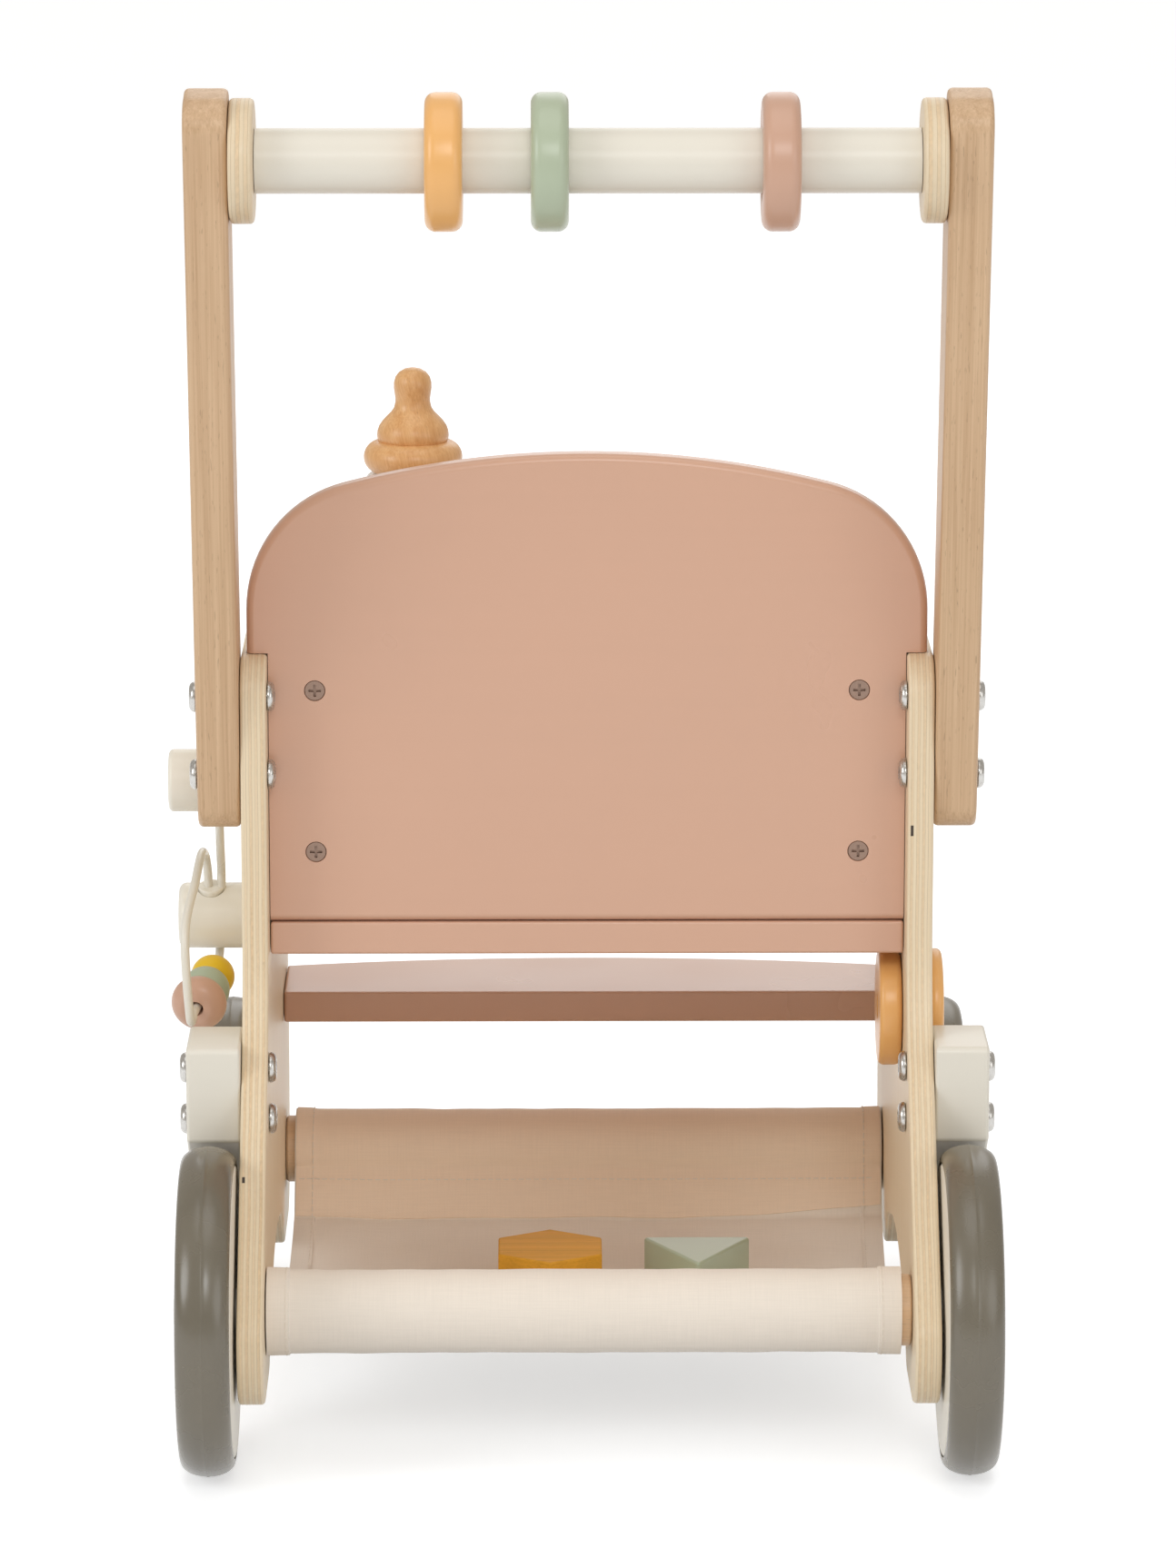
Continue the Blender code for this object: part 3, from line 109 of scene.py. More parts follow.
class WalkerSizes(bpy.types.PropertyGroup):
    """Sizes of the walker's pieces that a user would change."""

    panel_round: length("Panel edge", "Rounding of the plywood panels' edges", 1.5 * MM)
    ply_count: bpy.props.IntProperty(name="Plies", description="Veneers in a side panel", default=9, min=3)
    wheel_radius: length("Wheel radius", "From axle to tread", 69.0 * MM)
    tread_line: length("Tread line", "Height of the moulding line round a tyre", 0.25 * MM)
    bar_radius: length("Bar radius", "Radius of the push bar", 13.3 * MM)
    ring_edge: length("Ring edge", "Rounding of the sliding rings", 4.4 * MM)
    seat_back_round: length("Seat back edge", "Rounding of the seat back's edge", 3.5 * MM)
    board_round: length("Board edge", "Rounding of the seat, footrest and tray boards", 1.2 * MM)
    arm_round: length("Arm edge", "Rounding of the handle arms", 2.2 * MM)
    cloth: length("Cloth", "Thickness of the basket's cotton", 0.9 * MM)
    hem: length("Hem", "Width of the cotton's side hems", 9.5 * MM)
    weave: length("Weave", "Distance from thread to thread in the cotton", 0.6 * MM)
    stitch: length("Stitch", "Length of one stitch in the hems", 2.4 * MM)
    wire_radius: length("Wire radius", "Radius of the bead track's coated wire", 1.9 * MM)
    socket: length("Socket", "Radius of the bolts' hexagon sockets", 3.3 * MM)


class WalkerColours(bpy.types.PropertyGroup):
    """Colours of the walker's finishes."""

    ply: colour("Plywood", "Face veneer under clear lacquer", 236, 219, 189)
    ply_cross: colour("Cross plies", "Plies that show end grain on an edge", 214, 184, 142)
    beech: colour("Beech", "Beech under clear lacquer", 215, 183, 147)
    beech_dark: colour("Beech fibre", "Darker fibres in the beech", 182, 145, 107)
    cream: colour("Cream", "Cream lacquer of the bar, posts, guards and hubs", 232, 227, 214)
    salmon: colour("Salmon", "Lacquer of the seat back, seat and footrest", 214, 170, 144)
    orange: colour("Orange", "Lacquer of the orange ring and the spinner", 240, 182, 110)
    mint: colour("Mint", "Lacquer of the mint ring, bead and block", 178, 190, 164)
    pink: colour("Pink", "Lacquer of the pink ring and bead", 206, 164, 140)
    yellow: colour("Yellow", "Lacquer of the yellow bead", 240, 198, 30)
    ochre: colour("Ochre", "Stain of the hexagonal block", 238, 172, 52)
    white: colour("White", "Lacquer of the bottle", 244, 243, 240)
    rubber: colour("Rubber", "Warm grey of the tyres", 110, 103, 88)
    steel: colour("Steel", "Zinc-plated bolts, caps and screws", 200, 198, 194)
    cotton: colour("Cotton", "Cream cotton of the basket", 240, 230, 217)


# Node trees

class Nodes:
    """A node tree, with a short call for each kind of node that the finishes use."""

    def __init__(self, node_tree):
        self.nodes, self.links = node_tree.nodes, node_tree.links

    def fill(self, node, inputs):
        """Link or set a node's inputs, and give its outputs."""
        for socket, value in inputs.items():
            if isinstance(value, bpy.types.NodeSocket):
                self.links.new(value, node.inputs[socket])
            else:
                node.inputs[socket].default_value = value
        return node.outputs

    def node(self, kind, inputs, output=0, **settings):
        node = self.nodes.new(kind)
        for setting, value in settings.items():
            setattr(node, setting, value)
        return self.fill(node, inputs)[output]

    def place(self, scale=(1, 1, 1), turn=(0, 0, 0)):
        """The object's own coordinates, turned first and then stretched."""
        where = self.nodes.new("ShaderNodeTexCoord").outputs["Object"]
        if any(turn):
            where = self.node("ShaderNodeMapping", {"Vector": where, "Rotation": turn})
        return self.stretch(where, scale)

    def stretch(self, vector, scale):
        return self.node("ShaderNodeMapping", {"Vector": vector, "Scale": scale})

    def split(self, vector):
        return self.fill(self.nodes.new("ShaderNodeSeparateXYZ"), {0: vector})

    def noise(self, vector, scale=1.0, detail=3.0, roughness=0.5, distortion=0.0):
        return self.node("ShaderNodeTexNoise", {
            "Vector": vector, "Scale": scale, "Detail": detail, "Roughness": roughness,
            "Distortion": distortion,
        })

    def calculate(self, operation, first, second=0.0, clamp=False):
        return self.node("ShaderNodeMath", {0: first, 1: second}, operation=operation, use_clamp=clamp)

    def plus(self, first, second, clamp=False):
        return self.calculate("ADD", first, second, clamp)

    def times(self, first, second):
        return self.calculate("MULTIPLY", first, second)

    def spread(self, value, low, high, to_low=0.0, to_high=1.0):
        return self.node("ShaderNodeMapRange", {
            "Value": value, "From Min": low, "From Max": high, "To Min": to_low, "To Max": to_high,
        })

    def mix(self, share, *pair):
        """Mix two colours, each a socket or a tuple."""
        first, second = [
            value if isinstance(value, bpy.types.NodeSocket) else (*value[:3], 1.0) for value in pair
        ]
        return self.node("ShaderNodeMix", {0: share, 6: first, 7: second}, 2, data_type="RGBA")

    def bump(self, height, distance, strength=1.0, **below):
        inputs = {"Height": height, "Distance": distance, "Strength": strength, **below}
        return self.node("ShaderNodeBump", inputs)

    def either_ray(self, first, second):
        rays = self.nodes.new("ShaderNodeLightPath").outputs
        return self.calculate("MAXIMUM", rays[first], rays[second])

    def mix_shaders(self, share, first, second):
        return self.node("ShaderNodeMixShader", {0: share, 1: first, 2: second})


class Tree(Nodes):
    """A material's node tree, round its Principled shader."""

    def __init__(self, name, roughness, metallic=0.0):
        self.material = bpy.data.materials.new(name)
        self.material.use_nodes = True
        super().__init__(self.material.node_tree)
        self.shader = self.nodes["Principled BSDF"]
        self.set(Roughness=roughness, Metallic=metallic)

    def set(self, **sockets):
        """Link or set the shader's own sockets, named with underscores for spaces."""
        self.fill(self.shader, {name.replace("_", " "): value for name, value in sockets.items()})
        return self.material


def shade(base, factor):
    return tuple(min(1.0, channel * factor) for channel in base)


def fibres(tree, along, fineness=1.0, turn=(0, 0, 0)):
    """Rings, fibre streaks and short ray flecks of sawn timber, long along one axis."""
    lengthwise = {"X": 0, "Y": 1, "Z": 2}[along]

    def stretched(across, lengthways):
        scale = [across * fineness] * 3
        scale[lengthwise] = lengthways * fineness
        return tree.place(scale=scale, turn=turn)

    wander = tree.noise(stretched(22, 4), detail=2.0)
    bent = tree.node("ShaderNodeVectorMath", {0: stretched(210, 3.2), 1: wander}, operation="ADD")
    rings = tree.noise(bent, detail=3.0, distortion=0.4)
    streaks = tree.noise(stretched(1100, 11), detail=4.0, roughness=0.6)
    flecks = tree.spread(tree.noise(stretched(1700, 200), detail=1.0), 0.66, 0.76)
    return rings, streaks, flecks


def timber(name, pale, dark, along, roughness=0.42, fineness=1.0, turn=(0, 0, 0), contrast=1.0, gloss=0.15):
    tree = Tree(name, roughness)
    rings, streaks, flecks = fibres(tree, along, fineness, turn)
    tone = tree.plus(tree.spread(rings, 0.32, 0.68, 0.0, 0.36 * contrast),
                    tree.spread(streaks, 0.32, 0.68, 0.0, 0.46 * contrast), clamp=True)
    base = tree.mix(tone, pale, dark)
    base = tree.mix(tree.times(flecks, 0.35 * contrast), base, shade(dark, 0.55))
    cloud = tree.noise(tree.place(), 9.0, 2.0)
    base = tree.mix(tree.spread(cloud, 0.35, 0.65, 0.0, 0.10), base, shade(pale, 1.12))
    rough = tree.spread(streaks, 0.3, 0.7, roughness - 0.05, roughness + 0.08)
    normal = tree.bump(tree.calculate("SUBTRACT", streaks, flecks), 0.05 * MM, 0.5)
    return tree.set(Base_Color=base, Roughness=rough, Normal=normal, Coat_Weight=gloss, Coat_Roughness=0.3,
                    Specular_IOR_Level=0.3 + gloss)


def plywood(name, pale, cross, inner, thickness, plies, roughness=0.42):
    """Veneers stacked outward from the middle plane: long grain and end grain by turns, with glue lines."""
    tree = Tree(name, roughness)
    rings, streaks, flecks = fibres(tree, "Z")
    side, along, up = tree.split(tree.place())
    outward = tree.calculate("ABSOLUTE", side)
    wobble = tree.spread(tree.noise(tree.place(scale=(8, 30, 30)), detail=2.0), 0.3, 0.7, -0.16, 0.16)
    depth = tree.times(tree.calculate("SUBTRACT", outward, inner), plies / thickness)
    depth = tree.plus(depth, wobble)
    layer = tree.calculate("FLOOR", depth)
    odd = tree.calculate("ABSOLUTE", tree.calculate("MODULO", layer, 2.0))
    inside = tree.times(tree.calculate("GREATER_THAN", depth, 0.8),
                        tree.calculate("LESS_THAN", depth, plies - 0.8))
    cross_ply = tree.times(odd, inside)
    within = tree.calculate("FRACT", depth)
    glue = tree.times(tree.calculate("LESS_THAN", within, 0.16), inside)
    tone = tree.plus(tree.spread(rings, 0.3, 0.7, 0.0, 0.16), tree.spread(streaks, 0.3, 0.7, 0.0, 0.14))
    face = tree.mix(tone, pale, shade(cross, 1.02))
    pores = tree.noise(tree.place(scale=(900, 420, 420)), detail=2.0)
    end_grain = tree.mix(tree.spread(pores, 0.3, 0.7), shade(cross, 0.94), shade(cross, 1.18))
    along = tree.plus(along, tree.times(tree.calculate("SIGN", side), 3.7))
    one_layer = tree.node("ShaderNodeCombineXYZ", {"X": layer, "Y": along, "Z": up})
    stock = tree.noise(tree.stretch(one_layer, (3.7, 6, 6)), detail=1.0)
    base = tree.mix(tree.times(cross_ply, tree.spread(stock, 0.3, 0.7, 0.10, 0.75)), face, end_grain)
    base = tree.mix(tree.times(glue, tree.spread(stock, 0.3, 0.7, 0.40, 0.12)), base, shade(cross, 0.50))
    base = tree.mix(tree.times(flecks, 0.12), base, shade(cross, 0.55))
    # painted shade: the inside of each core void is painted near black
    spot = tree.noise(tree.stretch(one_layer, (9.1, 90, 55)), detail=0.0)
    void = tree.times(tree.calculate("GREATER_THAN", spot, 0.80), cross_ply)
    base = tree.mix(void, base, (0.045, 0.026, 0.014))
    cut = tree.plus(tree.times(glue, -0.5), tree.times(void, -3.0))
    height = tree.plus(tree.times(streaks, 0.4), cut)
    rough = tree.spread(streaks, 0.3, 0.7, roughness - 0.04, roughness + 0.10)
    normal = tree.bump(height, 0.06 * MM, 0.6)
    return tree.set(Base_Color=base, Roughness=rough, Normal=normal, Coat_Weight=0.12, Coat_Roughness=0.3)


def lacquer(name, base_colour, roughness=0.36, coat=0.2, along="X", grain=0.5):
    """Opaque lacquer brushed out over wood: faint fibres show through it, and its gloss varies."""
    tree = Tree(name, roughness)
    rings, streaks, _ = fibres(tree, along)
    cloud = tree.noise(tree.place(), 14.0, 3.0)
    deep, pale = shade(base_colour, 0.975), shade(base_colour, 1.02)
    base = tree.mix(tree.spread(cloud, 0.3, 0.7, 0.0, 0.5), deep, pale)
    base = tree.mix(tree.spread(rings, 0.45, 0.75, 0.0, 0.06 * grain), base, shade(base_colour, 0.75))
    dust = tree.spread(tree.noise(tree.place(), 2600.0, 0.0), 0.72, 0.78)
    base = tree.mix(tree.times(dust, 0.12), base, shade(base_colour, 0.8))
    rough = tree.spread(cloud, 0.3, 0.7, roughness - 0.04, roughness + 0.06)
    peel = tree.noise(tree.place(), 420.0, 2.0)
    normal = tree.bump(tree.plus(tree.times(streaks, grain), peel), 0.02 * MM, 0.35)
    return tree.set(Base_Color=base, Roughness=rough, Normal=normal, Coat_Weight=coat, Coat_Roughness=0.2)


def rubber(name, base_colour):
    tree = Tree(name, 0.42)
    cloud = tree.noise(tree.place(), 22.0, 4.0, 0.6)
    fine = tree.noise(tree.place(), 1500.0, 2.0)
    base = tree.mix(tree.spread(cloud, 0.3, 0.7), shade(base_colour, 0.93), shade(base_colour, 1.07))
    scuff = tree.spread(tree.noise(tree.place(scale=(160, 30, 30)), detail=5.0, roughness=0.7), 0.66, 0.8)
    base = tree.mix(tree.times(scuff, 0.25), base, shade(base_colour, 1.35))
    rough = tree.spread(cloud, 0.3, 0.7, 0.20, 0.32)
    normal = tree.bump(fine, 0.02 * MM, 0.3)
    return tree.set(Base_Color=base, Roughness=rough, Normal=normal, Specular_IOR_Level=0.7)


def plated_steel(name, base_colour, roughness=0.24):
    tree = Tree(name, roughness, 1.0)
    brushed = tree.noise(tree.place(scale=(2600, 500, 500)), detail=3.0)
    base = tree.mix(tree.spread(brushed, 0.3, 0.7), shade(base_colour, 0.86), shade(base_colour, 1.1))
    rough = tree.spread(brushed, 0.3, 0.7, roughness - 0.06, roughness + 0.12)
    normal = tree.bump(brushed, 0.01 * MM, 0.4)
    return tree.set(Base_Color=base, Roughness=rough, Normal=normal)


def cotton(name, base_colour, thread):
    """Plain weave: each thread's crown runs over one crossing thread and under the next."""
    tree = Tree(name, 0.9)
    where = tree.nodes.new("ShaderNodeUVMap").outputs[0]
    turns = math.pi / thread
    wefts, warps = [tree.calculate("SINE", tree.times(part, turns)) for part in tree.split(where)[:2]]
    crossing = tree.times(wefts, warps)
    crowns = tree.plus(tree.calculate("ABSOLUTE", wefts), tree.calculate("ABSOLUTE", warps))
    height = tree.plus(tree.times(crossing, 0.6), crowns)
    threads = [tree.stretch(where, scale) for scale in ((60, 1400, 1), (1400, 60, 1))]
    slubs = tree.plus(*[tree.noise(along, detail=2.0) for along in threads])
    cloud = tree.noise(tree.place(), 26.0, 3.0)
    base = tree.mix(tree.spread(slubs, 0.75, 1.25), shade(base_colour, 0.972), shade(base_colour, 1.015))
    # painted shade: darker in the low spots between the threads' crowns
    base = tree.mix(tree.spread(crowns, 0.2, 1.9, 0.07, 0.0), base, shade(base_colour, 0.62))
    base = tree.mix(tree.spread(cloud, 0.3, 0.7, 0.0, 0.22), base, shade(base_colour, 0.93))
    normal = tree.bump(tree.plus(height, slubs), 0.04 * MM, 0.3)
    creases = tree.noise(tree.place(scale=(30, 60, 60)), detail=4.0, roughness=0.6, distortion=0.5)
    normal = tree.bump(creases, 0.5 * MM, 0.5, Normal=normal)
    return tree.set(Base_Color=base, Roughness=0.9, Normal=normal, Sheen_Weight=0.25, Sheen_Roughness=0.5)


def finish(kind):
    """The named finish, made the first time that a piece asks for it."""
    name = f"{kind}_finish"
    ready = bpy.data.materials.get(name)
    if ready is not None:
        return ready
    sizes, hues = bpy.context.scene.walker_sizes, bpy.context.scene.walker_colours
    ply, cross, beech, dark = hues.ply, hues.ply_cross, hues.beech, hues.beech_dark
    upright = (0, 0, 0)
    finishes = {
        "panel_plywood": (plywood, ply, cross, PANEL_INNER, PANEL_OUTER - PANEL_INNER, sizes.ply_count),
        "disc_plywood": (plywood, shade(ply, 0.94), cross, DISC_INNER, DISC_THICKNESS, 6),
        "arm_beech": (timber, shade(beech, 1.04), dark, "Z", 0.42, 1.0, (-LEAN, 0, 0), 1.1),
        # painted light: the dowels' beech is a lightened copy of the beech, standing in for light falling on
        # them
        "dowel_beech": (timber, shade(beech, 1.22), beech, "X"),
        "cleat_beech": (timber, beech, dark, "Z"),
        "turned_beech": (timber, linear(234, 188, 132), linear(206, 148, 88), "Z", 0.34, 1.1, (0.25, 0.2, 0),
                         1.2),
        "ochre_stain": (timber, hues.ochre, shade(hues.ochre, 0.62), "X", 0.55, 1.0, upright, 0.8, 0.0),
        "cream_lacquer": (lacquer, hues.cream, 0.38, 0.12),
        # painted light: the posts' cream is a lightened copy of the cream lacquer, brighter than the paint
        # itself
        "post_lacquer": (lacquer, shade(hues.cream, 1.1), 0.38, 0.12),
        "cream_wire": (lacquer, hues.cream, 0.3, 0.3, "X", 0.0),
        "salmon_lacquer": (lacquer, hues.salmon, 0.3, 0.3),
        "orange_lacquer": (lacquer, hues.orange, 0.32, 0.25, "Z"),
        "mint_lacquer": (lacquer, hues.mint, 0.34, 0.2, "Z"),
        "pink_lacquer": (lacquer, hues.pink, 0.34, 0.2, "Z"),
        "yellow_lacquer": (lacquer, hues.yellow, 0.34, 0.2, "Z"),
        "white_lacquer": (lacquer, hues.white, 0.32, 0.2, "Z"),
        "sewing_thread": (lacquer, shade(hues.cotton, 0.96), 0.8, 0.0, "X", 0.2),
        "grey_rubber": (rubber, hues.rubber),
        "plated_steel": (plated_steel, hues.steel),
        "screw_steel": (plated_steel, linear(158, 134, 120), 0.5),
        "woven_cotton": (cotton, hues.cotton, sizes.weave),
        # painted shade: the doubled cotton is tinted warmer, standing in for the warm shade inside the basket
        "lined_cotton": (cotton, linear(248, 226, 202), sizes.weave),
    }
    maker, *settings = finishes[kind]
    return maker(name, *settings)


# Shapes

def add_object(name, data, place=(0, 0, 0)):
    item = bpy.data.objects.new(name, data)
    item.location = place
    bpy.context.scene.collection.objects.link(item)
    return item


def mesh_of(name, bm):
    mesh = bpy.data.meshes.new(name)
    bm.to_mesh(mesh)
    bm.free()
    return mesh


def new_piece(name, bm, finish_name, node=None, body="frame", sharp=SHARP_DEGREES):
    """Put a bmesh, drawn about the toy's middle, on its body with its finish."""
    bmesh.ops.remove_doubles(bm, verts=bm.verts, dist=MERGE)
    bmesh.ops.recalc_face_normals(bm, faces=bm.faces)
    mesh = mesh_of(name, bm)
    mesh.shade_smooth()
    mesh.set_sharp_from_angle(angle=math.radians(sharp))
    mesh.materials.append(finish(finish_name))
    return mount_piece(add_object(name, mesh, (MIDDLE_X, 0, 0)), node, body)


def mount_piece(piece, node=None, body="frame"):
    """Seat a piece on its body, in the place of its plain node."""
    bpy.context.view_layer.update()
    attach(piece, body)
    if node:
        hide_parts(node)
    return piece


def soften(piece, width, segments):
    bevel = piece.modifiers.new("softened_edges", "BEVEL")
    bevel.width = width
    bevel.segments = segments
    bevel.limit_method = "ANGLE"
    bevel.angle_limit = math.radians(40)
    bevel.harden_normals = True


def carve(piece, bm):
    """Cut a bmesh's shape out of a piece, and apply what the piece carries so far."""
    bmesh.ops.recalc_face_normals(bm, faces=bm.faces)
    tool = add_object("carving", mesh_of("carving", bm), (MIDDLE_X, 0, 0))
    cut = piece.modifiers.new("carved", "BOOLEAN")
    cut.solver = "EXACT"
    cut.object = tool
    bpy.context.view_layer.update()
    applied = bpy.data.meshes.new_from_object(piece.evaluated_get(bpy.context.evaluated_depsgraph_get()))
    piece.modifiers.clear()
    piece.data = applied
    applied.set_sharp_from_angle(angle=math.radians(SHARP_DEGREES))
    bpy.data.objects.remove(tool, do_unlink=True)
    even = piece.modifiers.new("even_normals", "WEIGHTED_NORMAL")
    even.keep_sharp = True
    even.weight = 100


def arc(middle_r, middle_h, reach_r, reach_h, start, end, steps):
    """Points of an elliptical arc in a turned profile, from start to end degrees."""
    points = []
    for step in range(steps + 1):
        angle = math.radians(start + (end - start) * step / steps)
        points.append((middle_r + reach_r * math.cos(angle), middle_h + reach_h * math.sin(angle)))
    return points


def rim(radius, low, high, edge, first=6, second=6):
    """The rounded outer edge of a turned disc, from its low face to its high one."""
    return (arc(radius - edge, low + edge, edge, edge, -90, 0, first)
            + arc(radius - edge, high - edge, edge, edge, 0, 90, second))


def sided(profile, way):
    """A profile along the axis on one side of the toy, or its mirror on the other."""
    return [(reach, way * along) for reach, along in profile]


def both_ways(profile):
    """A half profile, followed by its mirror on the other side of the middle."""
    return profile + sided(reversed(profile), -1)


def hexagon(centre, radius, start=0):
    return [tuple(middle + radius * part(math.radians(60 * turn + start)) for middle, part
                  in zip(centre, (math.cos, math.sin))) for turn in range(6)]


def through(guides, steps):
    """A smooth run through the guides, from the second to the last but one."""
    route = []
    for a, b, c, d in zip(guides, guides[1:], guides[2:], guides[3:]):
        for step in range(steps):
            t = step / steps
            route.append(0.5 * (2 * b + (c - a) * t + (2 * a - 5 * b + 4 * c - d) * t ** 2
                                + (3 * b - a - 3 * c + d) * t ** 3))
    return route + [guides[-2]]


def outline(corners, steps):
    """A closed polygon whose (u, v, radius) corners are rounded by arcs."""
    points = []
    for index, (u, v, radius) in enumerate(corners):
        corner = Vector((u, v))
        before = (Vector(corners[index - 1][:2]) - corner).normalized()
        after = (Vector(corners[(index + 1) % len(corners)][:2]) - corner).normalized()
        if radius == 0:
            points.append(corner)
            continue
        half = before.angle(after) / 2
        centre = corner + (before + after).normalized() * (radius / math.sin(half))
        start = corner + before * (radius / math.tan(half)) - centre
        sweep = start.angle_signed(corner + after * (radius / math.tan(half)) - centre)
        for step in range(steps + 1):
            points.append(centre + Matrix.Rotation(-sweep * step / steps, 2) @ start)
    return points


def slab(bm, shape, axis, low, high):
    """Extrude a closed outline along an axis."""
    index = "XYZ".index(axis)
    away = Vector((0, 0, 0))
    away[index] = high - low
    face = bm.faces.new([bm.verts.new((*point[:index], low, *point[index:])) for point in shape])
    grown = bmesh.ops.extrude_face_region(bm, geom=[face], use_keep_orig=True)
    moved = [item for item in grown["geom"] if isinstance(item, bmesh.types.BMVert)]
    bmesh.ops.translate(bm, verts=moved, vec=away)


def lathe(bm, profile, centre, axis="X", steps=TURN_STEPS, closed=False, turn=None):
    """Turn a profile of (radius, place along the axis) points about an axis through centre."""
    rotations = {
        "X": Matrix.Rotation(math.radians(90), 4, "Y"),
        "Y": Matrix.Rotation(math.radians(-90), 4, "X"),
        "Z": Matrix.Identity(4),
    }
    matrix = Matrix.Translation(centre) @ (rotations[axis] if turn is None else turn)
    points = [bm.verts.new(matrix @ Vector((radius, 0, along))) for radius, along in profile]
    pairs = list(zip(points, points[1:])) + ([(points[-1], points[0])] if closed else [])
    edges = [bm.edges.new(pair) for pair in pairs]
    bmesh.ops.spin(bm, geom=points + edges, cent=centre, axis=matrix.to_3x3() @ Vector((0, 0, 1)),
                   angle=math.tau, steps=steps)
    bmesh.ops.remove_doubles(bm, verts=bm.verts, dist=MERGE)


def turned_piece(name, profile, centre, finish_name, node, body="frame", axis="X", steps=TURN_STEPS,
                 closed=False, turn=None):
    bm = bmesh.new()
    lathe(bm, profile, centre, axis, steps, closed, turn)
    return new_piece(name, bm, finish_name, node, body)


def sawn_piece(name, shape, axis, low, high, finish_name, node, body="frame", rounding=0.0, segments=4):
    bm = bmesh.new()
    slab(bm, shape, axis, *sorted((low, high)))
    piece = new_piece(name, bm, finish_name, node, body)
    if rounding > 0:
        soften(piece, rounding, segments)
    return piece


# Pieces

PANEL_CORNERS_MM = (
    (-62, 332, 17), (-62, 187, 80), (-163, 69, 18), (-163, 33, 27), (-93, 33, 13.5), (-75, 52, 20),
    (0, 74, 178), (75, 52, 20), (93, 33, 13.5), (163, 33, 27), (172, 108, 80), (163, 176, 24),
    (92, 190, 46), (92, 332, 34),
)


def millimetres(*rows):
    return [tuple(value * MM for value in row) for row in rows]


class WALKER_OT_side_panels(bpy.types.Operator):
    """Saw the two plywood side panels and round their edges"""

    bl_idname = "walker.side_panels"
    bl_label = "Side panels"

    def execute(self, context):
        shape = outline(millimetres(*PANEL_CORNERS_MM), 14)
        for side, way in SIDES:
            sawn_piece(f"ply_panel_{side}", shape, "X", way * PANEL_INNER, way * PANEL_OUTER, "panel_plywood",
                       f"side_panel_{side}", rounding=context.scene.walker_sizes.panel_round)
        return {"FINISHED"}


class WALKER_OT_wheels(bpy.types.Operator):
    """Turn the hubs and mould the tyres, and fit the axles with their caps"""

    bl_idname = "walker.wheels"
    bl_label = "Wheels and axles"

    def execute(self, context):
        sizes = context.scene.walker_sizes
        for end in ENDS:
            for side, way in SIDES:
                self.tyre(end, side, way, sizes)
                self.hub(end, side, way, sizes)
            self.axle(end)
        return {"FINISHED"}

    def tyre(self, end, side, way, sizes):
        line, middle, half = sizes.tread_line, 158.6 * MM, 11.2 * MM
        seat, swell = sizes.wheel_radius - TYRE_DEPTH, 6.2 * MM
        profile = [(seat, middle - half)]
        for reach, along in arc(sizes.wheel_radius - swell - line, 0, swell, half, -90, 90, 40):
            rise = line * max(0.0, 1 - abs(along) / (0.9 * MM))
            profile.append((reach + rise, middle + along))
        profile.append((seat, middle + half))
        centre = (0, AXLES_Y[end], AXLE_Z)
        turned_piece(f"tyre_{end}_{side}_moulded", sided(profile, way), centre, "grey_rubber",
                     f"tyre_{end}_{side}", f"wheel_{end}_{side}", steps=TYRE_STEPS, closed=True)

    def hub(self, end, side, way, sizes):
        outer, bore, boss = sizes.wheel_radius - TYRE_DEPTH - FIT, 4.4 * MM, 10 * MM
        root, inboard, outboard, edge = PANEL_OUTER + FIT, 147.1 * MM, 167.6 * MM, 1.8 * MM
        profile = [(bore, root), (boss, root), (boss, inboard), (outer - edge, inboard)]
        profile += rim(outer, inboard, outboard, edge, 4) + [(bore, outboard)]
        centre = (0, AXLES_Y[end], AXLE_Z)
        turned_piece(f"hub_{end}_{side}_turned", sided(profile, way), centre, "cream_lacquer",
                     f"hub_{end}_{side}", f"wheel_{end}_{side}", closed=True)

    def axle(self, end):
        centre = (0, AXLES_Y[end], AXLE_Z)
        face, crown, tip, swell = 167.9 * MM, 173.1 * MM, 170 * MM, 4.5 * MM
        dome = [(9 * MM, face)] + arc(swell, face + 1.8 * MM, swell, crown - face - 1.8 * MM, 0, 90, 10)
        dome.append((0, crown))
        rod = sided(reversed(dome), -1) + [(4 * MM, -face), (4 * MM, tip), (0, tip)]
        nut = [(0, tip + 0.5 * MM), (4.4 * MM, tip + 0.5 * MM), (4.4 * MM, face)] + dome
        for name, profile, node in ((f"axle_rod_{end}", rod, f"{end}_axle"),
                                    (f"cap_nut_{end}", nut, f"{end}_axle_cap_nut")):
            turned_piece(name, profile, centre, "plated_steel", node, steps=SMALL_STEPS)


def arm_spot(along, across):
    """A place (y, z) on a handle arm: up it from the bar's centre, and forward across it."""
    y = BAR_Y - along * math.sin(LEAN) + across * math.cos(LEAN)
    return y, BAR_Z + along * math.cos(LEAN) + across * math.sin(LEAN)


